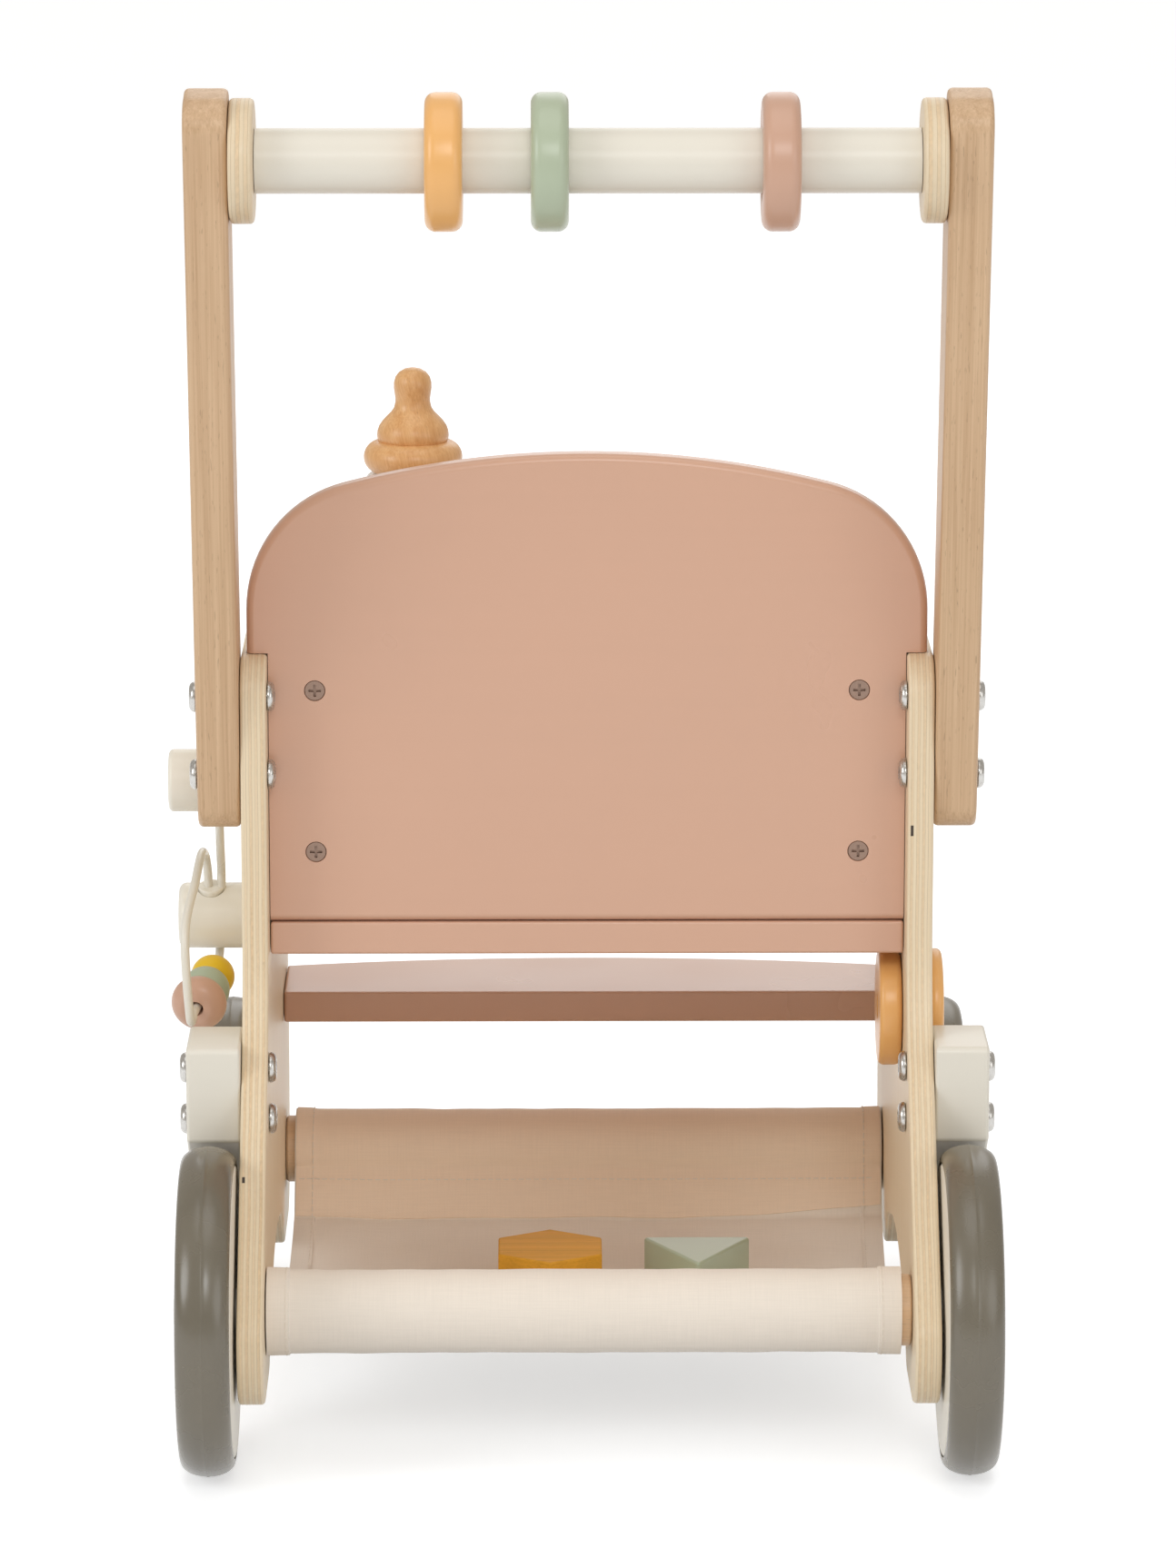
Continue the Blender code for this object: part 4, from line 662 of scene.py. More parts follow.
class WALKER_OT_handle(bpy.types.Operator):
    """Saw the leaning arms and turn the push bar and its plywood discs"""

    bl_idname = "walker.handle"
    bl_label = "Handle"

    def execute(self, context):
        sizes = context.scene.walker_sizes
        half = 18.0 * MM
        foot = -(BAR_Z - 256.2 * MM - half * math.sin(LEAN)) / math.cos(LEAN)
        corner = 13.0 * MM
        spots = ((28.7 * MM, half), (28.7 * MM, -half), (foot, -half), (foot, half))
        shape = outline([(*arm_spot(*spot), corner) for spot in spots], 12)
        edge, radius, bore = 1.8 * MM, 25.5 * MM, 8.3 * MM
        disc = [(bore, DISC_INNER)] + rim(radius, DISC_INNER, PANEL_OUTER, edge, 5, 5) + [(bore, PANEL_OUTER)]
        for side, way in SIDES:
            sawn_piece(f"arm_{side}", shape, "X", way * ARM_INNER, way * ARM_OUTER, "arm_beech",
                       f"handle_arm_{side}", rounding=sizes.arm_round, segments=5)
            turned_piece(f"ply_disc_{side}", sided(disc, way), (0, BAR_Y, BAR_Z), "disc_plywood",
                         f"handle_disc_{side}", closed=True)
        reach, end, tenon, end_reach = sizes.bar_radius, DISC_INNER - FIT, 156.9 * MM, 8 * MM
        profile = both_ways([(0, -tenon), (end_reach, -tenon), (end_reach, -end), (reach, -end)])
        turned_piece("push_bar", profile, (0, BAR_Y, BAR_Z), "cream_lacquer", "handle_bar")
        return {"FINISHED"}


class WALKER_OT_rings(bpy.types.Operator):
    """Turn the three rings that slide on the push bar"""

    bl_idname = "walker.rings"
    bl_label = "Sliding rings"

    def execute(self, context):
        edge = context.scene.walker_sizes.ring_edge
        radius, half, bore, inner = 28.3 * MM, 7.7 * MM, 14.2 * MM, 2.5 * MM
        flank = arc(radius - edge, half - edge, edge, edge, 0, 90, 8)
        flank += arc(bore + inner, half - inner, inner, inner, 90, 180, 6)
        for name, x in (("orange", -58.7), ("mint", -15.6), ("pink", 78.3)):
            turned_piece(f"sliding_ring_{name}", both_ways(flank), (x * MM, BAR_Y, BAR_Z - 0.5 * MM),
                         f"{name}_lacquer", f"ring_{name}", f"{name}_ring", closed=True)
        return {"FINISHED"}


class WALKER_OT_seat_back(bpy.types.Operator):
    """Saw the crowned seat back, its screws and the cleats that take them"""

    bl_idname = "walker.seat_back"
    bl_label = "Seat back"

    def execute(self, context):
        rear, front = -43.0 * MM, -31.0 * MM
        back = sawn_piece("crowned_back", self.crown(), "Y", rear, front, "salmon_lacquer", "seat_back",
                          rounding=context.scene.walker_sizes.seat_back_round, segments=6)
        tools = bmesh.new()
        over, wide, bore = 4.0 * MM, 4.5 * MM, 2.2 * MM
        for _, way in SIDES:
            notch = self.box(way * BOARD_HALF, way * 150 * MM, SEAT_TOP - over, PANEL_TOP + FIT)
            slab(tools, notch, "Y", rear - over, front + over)
        spots = [(way * 114.7 * MM, z * MM) for _, way in SIDES for z in (246.5, 316.2)]
        for x, z in spots:
            sink = [(0, rear - over), (wide, rear - over), (wide, -42.2 * MM), (bore, -39.2 * MM),
                    (bore, front + over), (0, front + over)]
            lathe(tools, sink, (x, 0, z), "Y", SMALL_STEPS)
        carve(back, tools)
        for index, (x, z) in enumerate(spots):
            self.screw(index + 1, x, z)
        for side, way in SIDES:
            shape = self.box(way * (BOARD_HALF - 34 * MM), way * BOARD_HALF, 233.2 * MM, 327 * MM)
            sawn_piece(f"cleat_{side}", shape, "Y", front + FIT, front + FIT + 18 * MM, "cleat_beech",
                       f"seat_cleat_{side}", rounding=1.5 * MM)
        return {"FINISHED"}

    def box(self, one, other, low, high):
        left, right = sorted((one, other))
        return [(left, low), (right, low), (right, high), (left, high)]

    def crown(self):
        top, crown, shoulder, half = 417.0 * MM, 405.0 * MM, 55.0 * MM, 143.3 * MM
        crown_z, shoulder_x = top - crown, half - shoulder
        shoulder_z = crown_z + math.sqrt((crown - shoulder) ** 2 - shoulder_x ** 2)
        lean = math.degrees(math.atan2(shoulder_z - crown_z, shoulder_x))
        side = [(half, SEAT_TOP + FIT)] + arc(shoulder_x, shoulder_z, shoulder, shoulder, 0, lean, 18)
        side += arc(0, crown_z, crown, crown, lean, 90, 18)[1:-1]
        return side + [(0, top)] + [(-x, z) for x, z in reversed(side)]

    def screw(self, number, x, z):
        face, shank = -42.6 * MM, 1.9 * MM
        profile = [(0, face), (4.1 * MM, face), (4.3 * MM, face + 0.25 * MM), (shank, face + 3 * MM),
                   (shank, face + 20 * MM), (0, face + 24 * MM)]
        piece = turned_piece(f"cross_screw_{number}", profile, (x, 0, z), "screw_steel",
                             f"seat_back_screw_{number}", axis="Y", steps=SMALL_STEPS)
        slot = bmesh.new()
        long, thin = 2.6 * MM, 0.55 * MM
        quarter = [(thin, -thin), (long, -thin), (long, thin)]
        cross = []
        for turn in range(4):
            cosine, sine = (1, 0, -1, 0)[turn], (0, 1, 0, -1)[turn]
            cross += [(x + u * cosine - v * sine, z + u * sine + v * cosine) for u, v in quarter]
        slab(slot, cross, "Y", face - 1 * MM, face + 1.3 * MM)
        carve(piece, slot)


class WALKER_OT_boards(bpy.types.Operator):
    """Saw the seat board, the bowed footrest and the tray with the bottle's recess"""

    bl_idname = "walker.boards"
    bl_label = "Boards"

    def execute(self, context):
        rounding = context.scene.walker_sizes.board_round
        thick = 14.0 * MM
        for name, node, top, rear, ends, middle, paint in (
            ("bottom_board", "seat_board", SEAT_TOP, -43, 85, 85, "salmon_lacquer"),
            ("foot_board", "footrest", 148.2 * MM, 101, 150, 164, "salmon_lacquer"),
            ("tray_board", "tray", 320 * MM, 22, 76, 84, "cream_lacquer"),
        ):
            shape = self.bowed(rear * MM, ends * MM, middle * MM)
            board = sawn_piece(name, shape, "Z", top - thick, top, paint, node, rounding=rounding)
            if name == "tray_board":
                recess = bmesh.new()
                low, high = top - 6.0 * MM, top + 5.0 * MM
                lathe(recess, [(0, low), (20.9 * MM, low), (20.9 * MM, high), (0, high)], BOTTLE_SPOT, "Z")
                carve(board, recess)
        return {"FINISHED"}

    def bowed(self, rear, ends, middle):
        half, rise = BOARD_HALF, middle - ends
        shape = [(-half, rear), (half, rear)]
        if rise == 0:
            return shape + [(half, ends), (-half, ends)]
        radius = (half ** 2 + rise ** 2) / (2 * rise)
        sweep = math.degrees(math.asin(half / radius))
        return shape + arc(0, middle - radius, radius, radius, 90 - sweep, 90 + sweep, 40)


class WALKER_OT_bottle(bpy.types.Operator):
    """Turn the toy bottle: a white body and a teat of plain beech"""

    bl_idname = "walker.bottle"
    bl_label = "Toy bottle"

    def execute(self, context):
        base, radius, edge, peg = 314.3 * MM, 20.5 * MM, 3 * MM, 6.3 * MM
        top = base + 78 * MM
        profile = [(0, base), (radius - edge, base)] + rim(radius, base, top, edge, 6, 8)
        profile += [(peg, top), (peg, top - 12 * MM), (0, top - 12 * MM)]
        turned_piece("bottle_white", profile, BOTTLE_SPOT, "white_lacquer", "bottle_body", "bottle", "Z")
        collar, peg, swell = top + FIT, 6 * MM, 7 * MM
        profile = [(0, collar - 11.5 * MM), (peg, collar - 11.5 * MM), (peg, collar)]
        profile += arc(14.3 * MM, collar + swell, swell, swell, -90, 78, 18)
        rise = collar + 14 * MM
        for reach, height in (
            (14.9, 0.1), (15.3, 0.8), (15.5, 2.4), (15.3, 4.4), (14.5, 6.6), (13.0, 8.8), (11.1, 10.8),
            (9.3, 12.6), (8.1, 14.4), (7.6, 16.6), (7.5, 18.4), (7.8, 20.6), (8.15, 23.0), (8.1, 25.4),
            (7.4, 27.8), (5.9, 29.8), (3.6, 31.2), (1.4, 31.7), (0.0, 31.8),
        ):
            profile.append((reach * MM, rise + height * MM))
        turned_piece("teat_turned", profile, BOTTLE_SPOT, "turned_beech", "bottle_teat", "bottle", "Z")
        return {"FINISHED"}


class WALKER_OT_basket(bpy.types.Operator):
    """Hang the cotton sling between its dowels, with hems, creases and stitches"""

    bl_idname = "walker.basket"
    bl_label = "Cloth basket"

    def execute(self, context):
        sizes = context.scene.walker_sizes
        for end in ENDS:
            half, edge = BOARD_HALF, 0.8 * MM
            side = [(4.3 * MM, -half), (15 * MM - edge, -half), (15 * MM, -half + edge)]
            # the dowels' finish is beech lightened with painted light
            turned_piece(f"round_dowel_{end}", both_ways(side), (0, AXLES_Y[end], AXLE_Z), "dowel_beech",
                         f"basket_dowel_{end}", closed=True)
        self.half, self.sizes = 132.0 * MM, sizes
        self.path = self.middle_line()
        self.runs = [0.0]
        for first, second in zip(self.path, self.path[1:]):
            self.runs.append(self.runs[-1] + (second - first).length)
        places = zip(self.runs, self.path)
        self.foot = next(run for run, point in places if run > 90 * MM and point.x < 97 * MM)
        self.cloth()
        self.stitching()
        self.turn_in()
        return {"FINISHED"}

    def middle_line(self):
        """The cloth's middle line in Y and Z, from its lap on the front dowel to its lap on the rear one."""
        roll, lap, turns = 16.4 * MM, 0.5 * MM, 40
        leave, sweep = math.radians(-14), math.tau - math.radians(8)
        half = []
        for step in range(turns, -1, -1):
            angle, reach = leave + sweep * step / turns, roll + lap * step / turns
            half.append((AXLES_Y["front"] - reach * math.cos(angle), AXLE_Z + reach * math.sin(angle)))
        guides = half[-2:] + millimetres(
            (103.2, 55.8), (99.2, 47.4), (96.6, 43.9), (91.6, 42.2), (77.0, 37.4), (54.0, 32.6), (34.0, 30.9),
            (11.3, 30.5), (-11.3, 30.5))
        half = [Vector(point) for point in half] + through([Vector(guide) for guide in guides], 8)
        return half + [Vector((-point.x, point.y)) for point in reversed(half)]

    def lift(self, across, point):
        """How far the free cloth rises at one spot: lifted edges, soft folds and small creases."""
        y = point.x
        free = max(0.0, 1 - abs(y) / (108.4 * MM))
        wall = max(0.0, min(1.0, (abs(y) - 36 * MM) / (20 * MM)))
        fold = 1.1 * MM * math.cos(5 * math.pi * across + (0.6 if y > 0 else 0.0)) * wall
        edge = 3.2 * MM * across ** 6
        crease = 1.4 * MM * noise.noise(Vector((across * 5.0, y / (26 * MM), 3.1)))
        calm = max(0.0, 1 - (across / 0.45) ** 2) if abs(y) < 34 * MM else 0.0
        wave = 1.2 * MM * noise.noise(Vector((across * 3.0, 0.7, 5.0)))
        foot = max(0.0, 1 - abs(abs(y) - 94 * MM) / (16 * MM)) * wave
        return (edge + fold) * free ** 0.7 + crease * min(1.0, free * 3) * (1 - calm) + foot

    def shift(self, y):
        """The cloth hangs a little askew: left at the rear and right at the front."""
        return 2.0 * MM * max(-1.0, min(1.0, y / (125 * MM)))

    def puff(self, across, point):
        """How far the casing round a dowel stands off it, in small sewn puckers."""
        near = max(0.0, 1 - abs(abs(point.x) - 125 * MM) / (20 * MM))
        pucker = noise.noise(Vector((across * 9.0, math.atan2(point.y - AXLE_Z, point.x) * 1.5, 8.0)))
        return near * (0.35 * MM + 0.45 * MM * pucker + 0.5 * MM * abs(across) ** 8)

    def hemmed(self, across):
        return self.half * (1 - abs(across)) < self.sizes.hem

    def two_sided(self, name, rows, finish_name, node=None, sharp=50):
        """A cloth of rows of spots, each with its point on either side and its place in the weave."""
        bm = bmesh.new()
        layer = bm.loops.layers.uv.new("weave")
        places, grid = {}, []
        for row in rows:
            grid.append([])
            for pair, place in row:
                grid[-1].append([bm.verts.new(point) for point in pair])
                places.update((vert, place) for vert in grid[-1][-1])
        last = len(grid[0]) - 1
        for here, there in zip(grid, grid[1:]):
            for index in range(last):
                for side in (0, 1):
                    bm.faces.new([row[at][side] for row, at in ((here, index), (here, index + 1),
                                                                (there, index + 1), (there, index))])
            for index in (0, last):
                bm.faces.new((*here[index], *reversed(there[index])))
        for row in (grid[0], grid[-1]):
            for first, second in zip(row, row[1:]):
                bm.faces.new((first[0], second[0], second[1], first[1]))
        for face in bm.faces:
            for loop in face.loops:
                loop[layer].uv = places[loop.vert]
        return new_piece(name, bm, finish_name, node, sharp=sharp)

    def cloth(self):
        """The sling itself, thicker along its two hems and where it laps over itself on a dowel."""
        path, runs, columns, last = self.path, self.runs, 110, len(self.path) - 1
        spots_across = [2 * column / columns - 1 for column in range(columns + 1)]
        for reach in (self.half - self.sizes.hem - 0.25 * MM, self.half - self.sizes.hem + 0.25 * MM):
            spots_across += [-reach / self.half, reach / self.half]
        normals = []
        for index in range(last + 1):
            along = (path[min(index + 1, last)] - path[max(index - 1, 0)]).normalized()
            normals.append(Vector((-along.y, along.x)))
        rows = []
        for across in sorted(spots_across):
            thick = self.sizes.cloth * (1.2 if self.hemmed(across) else 0.5)
            rows.append([])
            for point, normal, run in zip(path, normals, runs):
                lap = 0.2 * MM if min(run, runs[-1] - run) < 12 * MM else 0.0
                x, rise = self.half * across + self.shift(point.x), self.lift(across, point)
                pair = []
                for way in (1, -1):
                    spot = point - normal * self.puff(across, point) + normal * way * (thick + lap)
                    pair.append((x, spot.x, spot.y + rise))
                rows[-1].append((pair, (self.half * across, run)))
        return self.two_sided("cotton_sling", rows, "woven_cotton", "basket_sling", 60)

    def surface(self, across, run, height):
        """A spot at a height over the cloth's middle line, on the side that holds the blocks."""
        runs, path = self.runs, self.path
        index = max(1, next((i for i, value in enumerate(runs) if value >= run), len(runs) - 1))
        share = (run - runs[index - 1]) / (runs[index] - runs[index - 1])
        point = path[index - 1].lerp(path[index], share)
        along = (path[index] - path[index - 1]).normalized()
        place = point - Vector((-along.y, along.x)) * (self.puff(across, point) + height)
        return Vector((self.half * across + self.shift(point.x), place.x, place.y + self.lift(across, point)))

    def turn_in(self):
        """The casing's turned-in end, a second layer from the front dowel down to a wavy edge at the fold."""
        columns, steps, cloth = 88, 34, self.sizes.cloth
        rows = []
        for column in range(columns + 1):
            across = (2 * column / columns - 1) * 0.995
            wave = 1.6 * MM * noise.noise(Vector((across * 3.0, 0.4, 2.0)))
            edge = self.foot - 6.0 * MM * max(0.0, across) ** 1.5 + wave
            top = cloth * (1.75 if self.hemmed(across) else 1.2)
            rows.append([])
            for step in range(steps + 1):
                run = DOUBLED_FROM + (edge - DOUBLED_FROM) * step / steps
                pair = [self.surface(across, run, height) for height in (0.3 * cloth, top)]
                rows[-1].append((pair, (self.half * across, run)))
        # the second layer's cotton is tinted warmer with painted shade
        return self.two_sided("sling_turn_in", rows, "lined_cotton")

    def stitching(self):
        """Rows of stitches: along both side hems, and across under each casing."""
        bm = bmesh.new()
        runs, half, step, gap, thread = self.runs, self.half, self.sizes.stitch, 1.0 * MM, 0.22 * MM

        def spot(across, run):
            doubled = DOUBLED_FROM < run < self.foot - 5 * MM * max(0.0, across)
            layers = ((0.5, 1.2), (1.2, 1.75))[self.hemmed(across)][doubled]
            return self.surface(across, run, self.sizes.cloth * layers + 0.08 * MM)

        def stitch(first, second):
            along = second - first
            turn = along.to_track_quat("Z", "Y").to_matrix().to_4x4()
            bmesh.ops.create_cone(bm, cap_ends=True, segments=6, radius1=thread, radius2=thread,
                                  depth=along.length, matrix=Matrix.Translation((first + second) / 2) @ turn)

        for way in (-1, 1):
            across = way * (1 - self.sizes.hem * 0.85 / half)
            run = 6 * MM
            while run < runs[-1] - 6 * MM:
                stitch(spot(across, run), spot(across, run + step))
                run += step + gap
        casing = next(run for run, point in zip(runs, self.path) if run > 80 * MM and point.x < 106 * MM)
        for run in (casing, runs[-1] - casing):
            x = -half + 2 * MM
            while x < half - 4 * MM:
                stitch(spot(x / half, run), spot((x + step) / half, run))
                x += step + gap
        return new_piece("sling_stitches", bm, "sewing_thread")


class WALKER_OT_blocks(bpy.types.Operator):
    """Saw the hexagonal and the triangular block that lie in the basket"""

    bl_idname = "walker.blocks"
    bl_label = "Shape blocks"

    def execute(self, context):
        base, top, y, edge = 31.3 * MM, 60.3 * MM, -1.0 * MM, 1.4 * MM
        six = [(*corner, 1.0 * MM) for corner in hexagon((-15.8 * MM, y), 45.0 * MM / math.sqrt(3), 30)]
        sawn_piece("hexagon_sawn", outline(six, 3), "Z", base, top, "ochre_stain", "hexagon_block", "hexagon",
                   edge)
        side, x, corner = 48.0 * MM, 48.3 * MM, 1.6 * MM
        depth = side * math.sqrt(3) / 2
        flat = y + depth / 3
        three = [(x + side / 2, flat, corner), (x - side / 2, flat, corner), (x, flat - depth, corner)]
        sawn_piece("triangle_sawn", outline(three, 4), "Z", base, top, "mint_lacquer", "triangle_block",
                   "triangle", edge)
        return {"FINISHED"}


class WALKER_OT_guards(bpy.types.Operator):
    """Saw the cream guard blocks over the rear wheels"""

    bl_idname = "walker.guards"
    bl_label = "Wheel guards"

    def execute(self, context):
        radius, rear, front, toe, top = 72.8 * MM, -88 * MM, -48 * MM, 105 * MM, 172.2 * MM
        axle = AXLES_Y["rear"]
        start = math.degrees(math.acos((rear - axle) / radius))
        end = math.degrees(math.asin((toe - AXLE_Z) / radius))
        under = [(u, v, 0) for u, v in arc(axle, AXLE_Z, radius, radius, end, start, 20)]
        corners = [(front, toe, 0)] + under + [(rear, top, 3 * MM), (front, top, 3 * MM)]
        for side, way in SIDES:
            sawn_piece(f"guard_block_{side}", outline(corners, 6), "X", way * ARM_INNER, way * GUARD_OUTER,
                       "cream_lacquer", f"wheel_guard_{side}", rounding=1.5 * MM)
        return {"FINISHED"}


class WALKER_OT_bolts(bpy.types.Operator):
    """Turn the domed connector bolts and cut their hexagon sockets"""

    bl_idname = "walker.bolts"
    bl_label = "Connector bolts"

    def execute(self, context):
        socket = context.scene.walker_sizes.socket
        for kind, y, heights, outer in (("arm", -50.2, (282.0, 315.3), ARM_OUTER),
                                        ("guard", -70.0, (137.2, 159.5), GUARD_OUTER)):
            for side, way in SIDES:
                for level, z in zip(("low", "high"), heights):
                    ends = ((way * (PANEL_INNER - FIT), -way), (way * (outer + FIT), way))
                    self.bolt(f"{kind}_bolt_{side}_{level}", (0, y * MM, z * MM), ends, socket)
        return {"FINISHED"}

    def bolt(self, node, centre, ends, socket):
        profile = []
        for face, way in ends:
            head = [(3 * MM, face)]
            for reach, rise in ((6.0, 0.0), (6.4, 0.35), (6.4, 0.9), (6.15, 1.7), (5.6, 2.4), (4.9, 2.8),
                                (4.2, 3.0), (0, 3.0)):
                head.append((reach * MM, face + way * rise * MM))
            profile += head if profile else head[::-1]
        piece = turned_piece(f"{node}_turned", profile, centre, "plated_steel", node, steps=SMALL_STEPS)
        tool = bmesh.new()
        for face, way in ends:
            mouth, floor = face + way * 4 * MM, face + way * 0.9 * MM
            slab(tool, hexagon(centre[1:], socket), "X", *sorted((mouth, floor)))
        carve(piece, tool)


RUN_SIDEWAYS, RUN_RISE = math.radians(9.7), math.radians(10)
RUN = Vector((math.sin(RUN_SIDEWAYS), math.cos(RUN_SIDEWAYS) * math.cos(RUN_RISE),
              math.cos(RUN_SIDEWAYS) * math.sin(RUN_RISE)))


def run_spot(along):
    """A point on the beads' straight run of wire, along from its middle."""
    return Vector((-164.1 * MM, 0, 175.5 * MM)) + RUN * along


class WALKER_OT_bead_track(bpy.types.Operator):
    """Turn the posts and the beads, and bend the coated wire between them"""

    bl_idname = "walker.bead_track"
    bl_label = "Bead track"

    def execute(self, context):
        radius = context.scene.walker_sizes.wire_radius
        self.posts(radius)
        straight = millimetres((-157.2, -5, 260.8), (-157.2, -5, 253.67), (-157.36, -0.18, 244.7),
                               (-158.34, 30.33, 224.21), (-158.5, 35.15, 215.24), (-158.5, 35.15, 208.11))
        loop = millimetres((-164.3, 35.15, 208.11), (-164.3, 35.15, 218.11), (-165.25, 31.28, 227.7),
                           (-166.2, 16, 231.5), (-167.95, -4, 223.9), (-171.6, -24, 206),
                           (-169.5, -31.5, 171.5))
        loop += [run_spot(24 * MM * share) for share in (-1, -0.6, 0, 0.6, 1)]
        loop += millimetres((-160, 34.7, 179.84), (-160, 44.96, 181.93), (-160, 48, 186.3), (-160, 48, 194.4))
        for name, points in (("straight", straight), ("loop", loop)):
            self.wire(name, [Vector(point) for point in points], radius)
        self.beads()
        return {"FINISHED"}

    def posts(self, wire):
        root = -PANEL_OUTER - FIT
        spigot, inside = 6 * MM, root + 7 * MM
        for name, reach, y, z, edge, end in (("upper", 13.4, -5, 269.2, 2.2, -178.5),
                                             ("lower", 14.3, 40, 198.7, 3.4, -177.2)):
            reach, edge, end = reach * MM, edge * MM, end * MM
            profile = [(0, inside), (spigot, inside), (spigot, root), (reach, root)]
            profile += arc(reach - edge, end + edge, edge, edge, 0, -90, 8) + [(0, end)]
            # the posts and the boss take the cream lightened with painted light
            post = turned_piece(f"post_{name}_turned", profile, (0, y * MM, z * MM), "post_lacquer",
                                f"bead_post_{name}")
            tool = bmesh.new()
            if name == "upper":
                hole, low, high = wire + 0.35 * MM, 253 * MM, 261.6 * MM
                drill = [(0, low), (hole, low), (hole, high), (0, high)]
                lathe(tool, drill, (-157.2 * MM, y * MM, 0), "Z", 32)
            else:
                boss = bmesh.new()
                for bm, shape in ((tool, ((0, 12.6), (6.2, 12.6), (6.2, 20), (0, 20))),
                                  (boss, ((0, 12.0), (5.7, 12.0), (5.7, 14.7), (5.2, 15.2), (0, 15.2)))):
                    lathe(bm, millimetres(*shape), (-163.0 * MM, y * MM, z * MM), steps=SMALL_STEPS,
                          turn=Matrix.Rotation(math.radians(18.6), 4, "X"))
                new_piece("post_boss", boss, "post_lacquer")
            carve(post, tool)

    def wire(self, name, points, radius):
        data = bpy.data.curves.new(f"wire_{name}", "CURVE")
        data.dimensions = "3D"
        data.bevel_depth = radius
        data.bevel_resolution = 6
        data.use_fill_caps = True
        route = through([2 * points[0] - points[1], *points, 2 * points[-1] - points[-2]], 10)
        spline = data.splines.new("POLY")
        spline.points.add(len(route) - 1)
        for target, point in zip(spline.points, route):
            target.co = (*point, 1)
        data.materials.append(finish("cream_wire"))
        piece = add_object(f"wire_{name}", data, (MIDDLE_X, 0, 0))
        mount_piece(piece, f"bead_wire_{name}")

    def beads(self):
        turn = RUN.to_track_quat("Z", "Y").to_matrix().to_4x4()
        half, bore, lip, pitch = 6.8 * MM, 3.0 * MM, 0.6 * MM, 14 * MM
        for place, name, reach in ((-1, "pink", 12.0 * MM), (0, "mint", 10.3 * MM), (1, "yellow", 9.5 * MM)):
            mouth = [(bore, -half + lip * 1.6), (bore + lip * 0.4, -half + lip * 0.4)]
            barrel = arc(reach * 0.45, 0, reach * 0.55, half, -84, 84, 24)
            profile = mouth + barrel + sided(reversed(mouth), -1)
            turned_piece(f"wood_bead_{name}", profile, run_spot(place * pitch), f"{name}_lacquer",
                         f"bead_{name}", f"{name}_bead", closed=True, turn=turn)


class WALKER_OT_spinner(bpy.types.Operator):
    """Turn the orange discs that spin on a pin through the right panel"""

    bl_idname = "walker.spinner"
    bl_label = "Spinner"

    def execute(self, context):
        centre = (0, -19 * MM, 172.3 * MM)
        radius, edge, bore = 25.0 * MM, 2.5 * MM, 5.3 * MM
        for name, near, way, thick in (("inner", PANEL_INNER - FIT, -1, 9.6 * MM),
                                       ("outer", PANEL_OUTER + FIT, 1, 6.2 * MM)):
            profile = [(bore, 0)] + rim(radius, 0, thick, edge) + [(bore, thick)]
            profile = [(reach, near + way * along) for reach, along in profile]
            turned_piece(f"spinner_{name}", profile, centre, "orange_lacquer", f"spinner_disc_{name}",
                         "spinner", closed=True)
        low, high, pin, edge = PANEL_INNER - 8.9 * MM, PANEL_OUTER + 5.5 * MM, 5 * MM, 0.8 * MM
        profile = [(0, low), (pin - edge, low), (pin, low + edge), (pin, high - edge), (pin - edge, high),
                   (0, high)]
        turned_piece("spinner_axle", profile, centre, "plated_steel", "spinner_pin", "spinner",
                     steps=SMALL_STEPS)
        return {"FINISHED"}


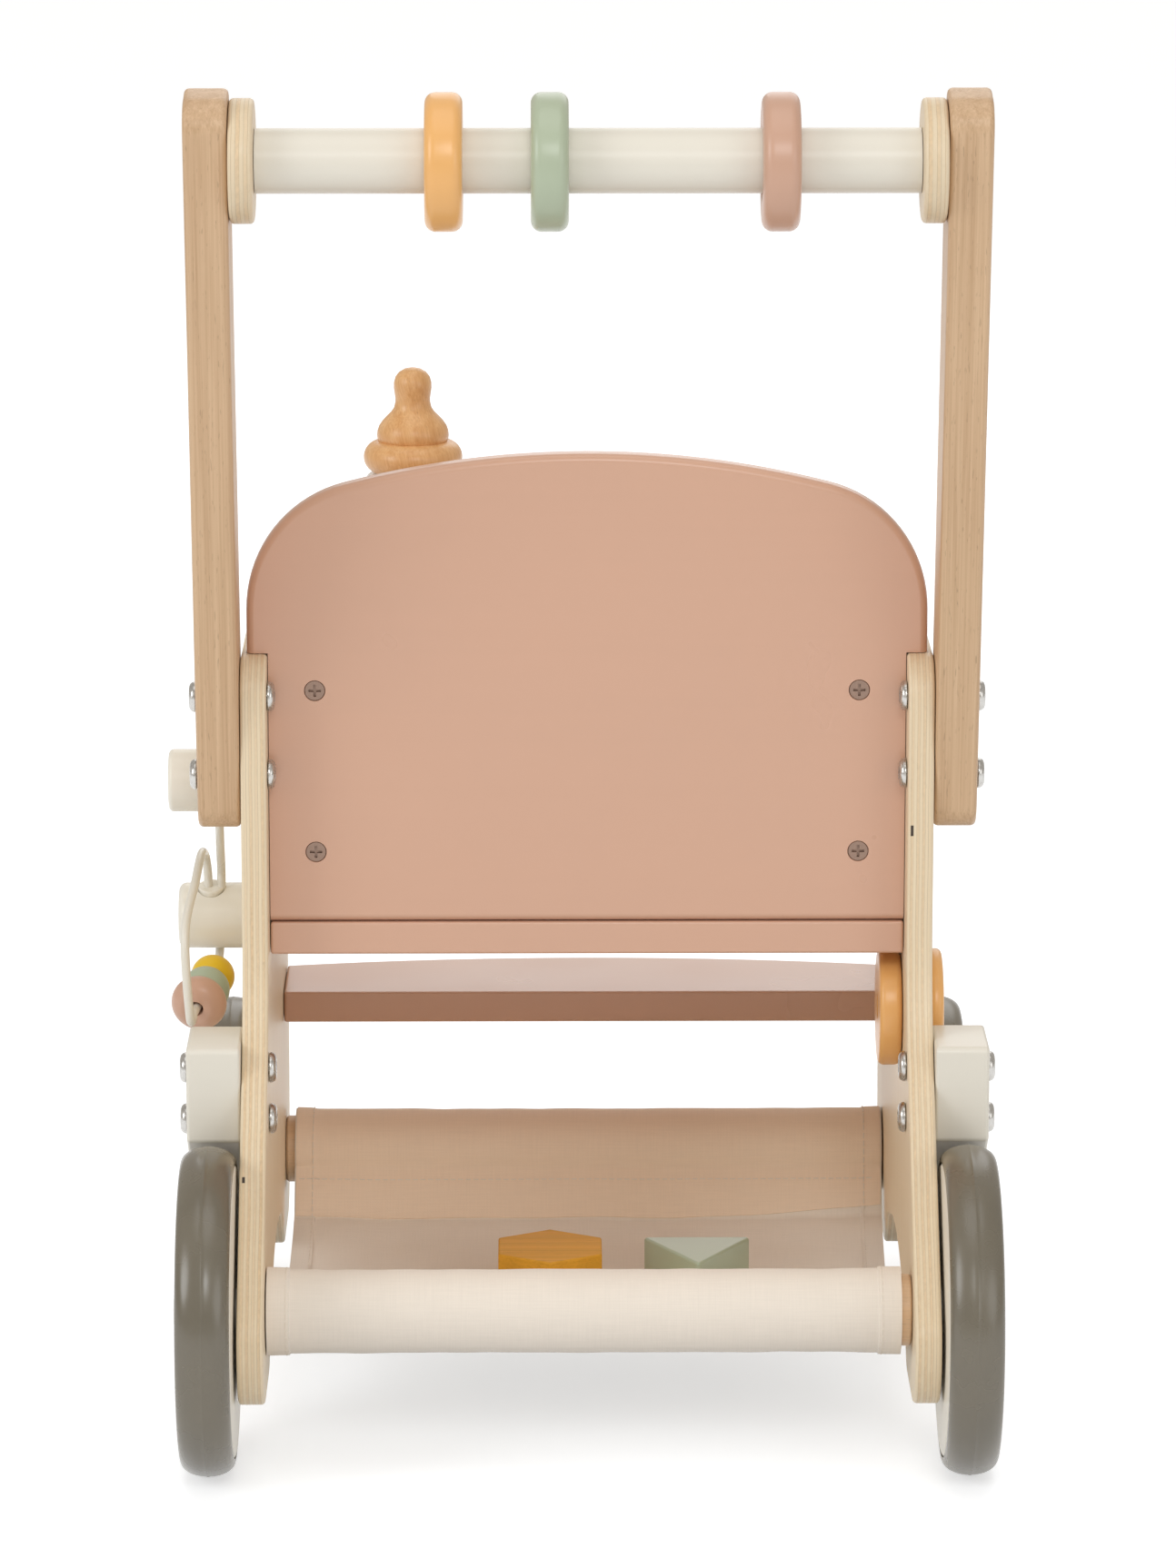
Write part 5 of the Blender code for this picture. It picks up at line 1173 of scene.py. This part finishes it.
class WALKER_OT_stage(bpy.types.Operator):
    """Lay the pale floor, hang the soft lamps and set the camera"""

    bl_idname = "walker.stage"
    bl_label = "Stage"

    def execute(self, context):
        scene = context.scene
        scene.view_settings.view_transform = "Standard"
        self.floor()
        self.world(scene)
        for name, place, target, size, power in (
            ("key", (-2.7, -1.7, 1.7), (0, 0, 0.25), 1.7, 29.0),
            ("fill", (2.2, -2.4, 1.2), (0, 0, 0.25), 1.8, 12.0),
            ("rear", (0.2, -2.9, 2.1), (0, 0.1, 0.05), 1.0, 15.0),
            ("front", (0.3, 2.6, 1.7), (0, 0, 0.20), 2.2, 13.0),
            ("top", (0.0, -0.4, 2.8), (0, 0, 0.2), 2.0, 10.0),
        ):
            lamp = bpy.data.lights.new(name, "AREA")
            lamp.shape = "DISK"
            lamp.size = size
            lamp.energy = power
            lamp.color = (0.97, 0.985, 1.0)
            holder = add_object(name, lamp, place)
            holder.rotation_euler = (Vector(target) - Vector(place)).to_track_quat("-Z", "Y").to_euler()
        data = bpy.data.cameras.new("photograph_view")
        data.lens = 159.05
        data.sensor_width = 36.0
        data.clip_end = 30.0
        scene.camera = add_object("photograph_view", data, (-0.0197, -2.898, 0.9207))
        scene.camera.rotation_euler = (math.radians(77.272), 0.0, math.radians(-0.457))
        return {"FINISHED"}

    def floor(self):
        bm = bmesh.new()
        bmesh.ops.create_grid(bm, x_segments=1, y_segments=1, size=6.0)
        floor = add_object("pale_floor", mesh_of("pale_floor", bm))
        tree = Tree("pale_floor", 0.7)
        floor.data.materials.append(tree.set(Base_Color=(0.79, 0.82, 0.86, 1.0)))
        seen = tree.either_ray("Is Camera Ray", "Is Glossy Ray")
        glow = tree.node("ShaderNodeEmission", {"Strength": 0.54})
        plain = tree.shader.outputs[0]
        both = tree.node("ShaderNodeAddShader", {0: plain, 1: glow})
        tree.fill(tree.nodes["Material Output"], {"Surface": tree.mix_shaders(seen, plain, both)})

    def world(self, scene):
        """Warm light from all round, and plain white where the camera looks past the toy."""
        scene.world = bpy.data.worlds.new("soft_studio")
        scene.world.use_nodes = True
        tree = Nodes(scene.world.node_tree)
        light = tree.fill(tree.nodes["Background"], {"Color": (1.0, 0.945, 0.88, 1.0), "Strength": 0.57})[0]
        white = tree.node("ShaderNodeBackground", {"Color": (1.0, 1.0, 1.0, 1.0), "Strength": 1.0})
        seen = tree.either_ray("Is Camera Ray", "Is Transmission Ray")
        tree.fill(tree.nodes["World Output"], {"Surface": tree.mix_shaders(seen, light, white)})


PIECES = (
    WALKER_OT_side_panels, WALKER_OT_wheels, WALKER_OT_handle, WALKER_OT_rings, WALKER_OT_seat_back,
    WALKER_OT_boards, WALKER_OT_bottle, WALKER_OT_basket, WALKER_OT_blocks, WALKER_OT_guards,
    WALKER_OT_bolts, WALKER_OT_bead_track, WALKER_OT_spinner, WALKER_OT_stage,
)


class WALKER_PT_pieces(bpy.types.Panel):
    """The walker's sizes, colours and pieces"""

    bl_idname = "WALKER_PT_pieces"
    bl_label = "Toddler walker"
    bl_space_type = "VIEW_3D"
    bl_region_type = "UI"
    bl_category = "Walker"

    def draw(self, context):
        scene = context.scene
        for heading, group in (("Sizes", scene.walker_sizes), ("Colours", scene.walker_colours)):
            self.layout.label(text=heading)
            for name in group.__annotations__:
                self.layout.prop(group, name)
        for operator in PIECES:
            self.layout.operator(operator.bl_idname)


CLASSES = (WalkerSizes, WalkerColours, *PIECES, WALKER_PT_pieces)


def register():
    for cls in CLASSES:
        bpy.utils.register_class(cls)
    bpy.types.Scene.walker_sizes = bpy.props.PointerProperty(type=WalkerSizes)
    bpy.types.Scene.walker_colours = bpy.props.PointerProperty(type=WalkerColours)


def unregister():
    del bpy.types.Scene.walker_colours
    del bpy.types.Scene.walker_sizes
    for cls in reversed(CLASSES):
        bpy.utils.unregister_class(cls)


def main():
    register()
    for operator in PIECES:
        group, name = operator.bl_idname.split(".")
        getattr(getattr(bpy.ops, group), name)()


if __name__ == "__main__":
    main()
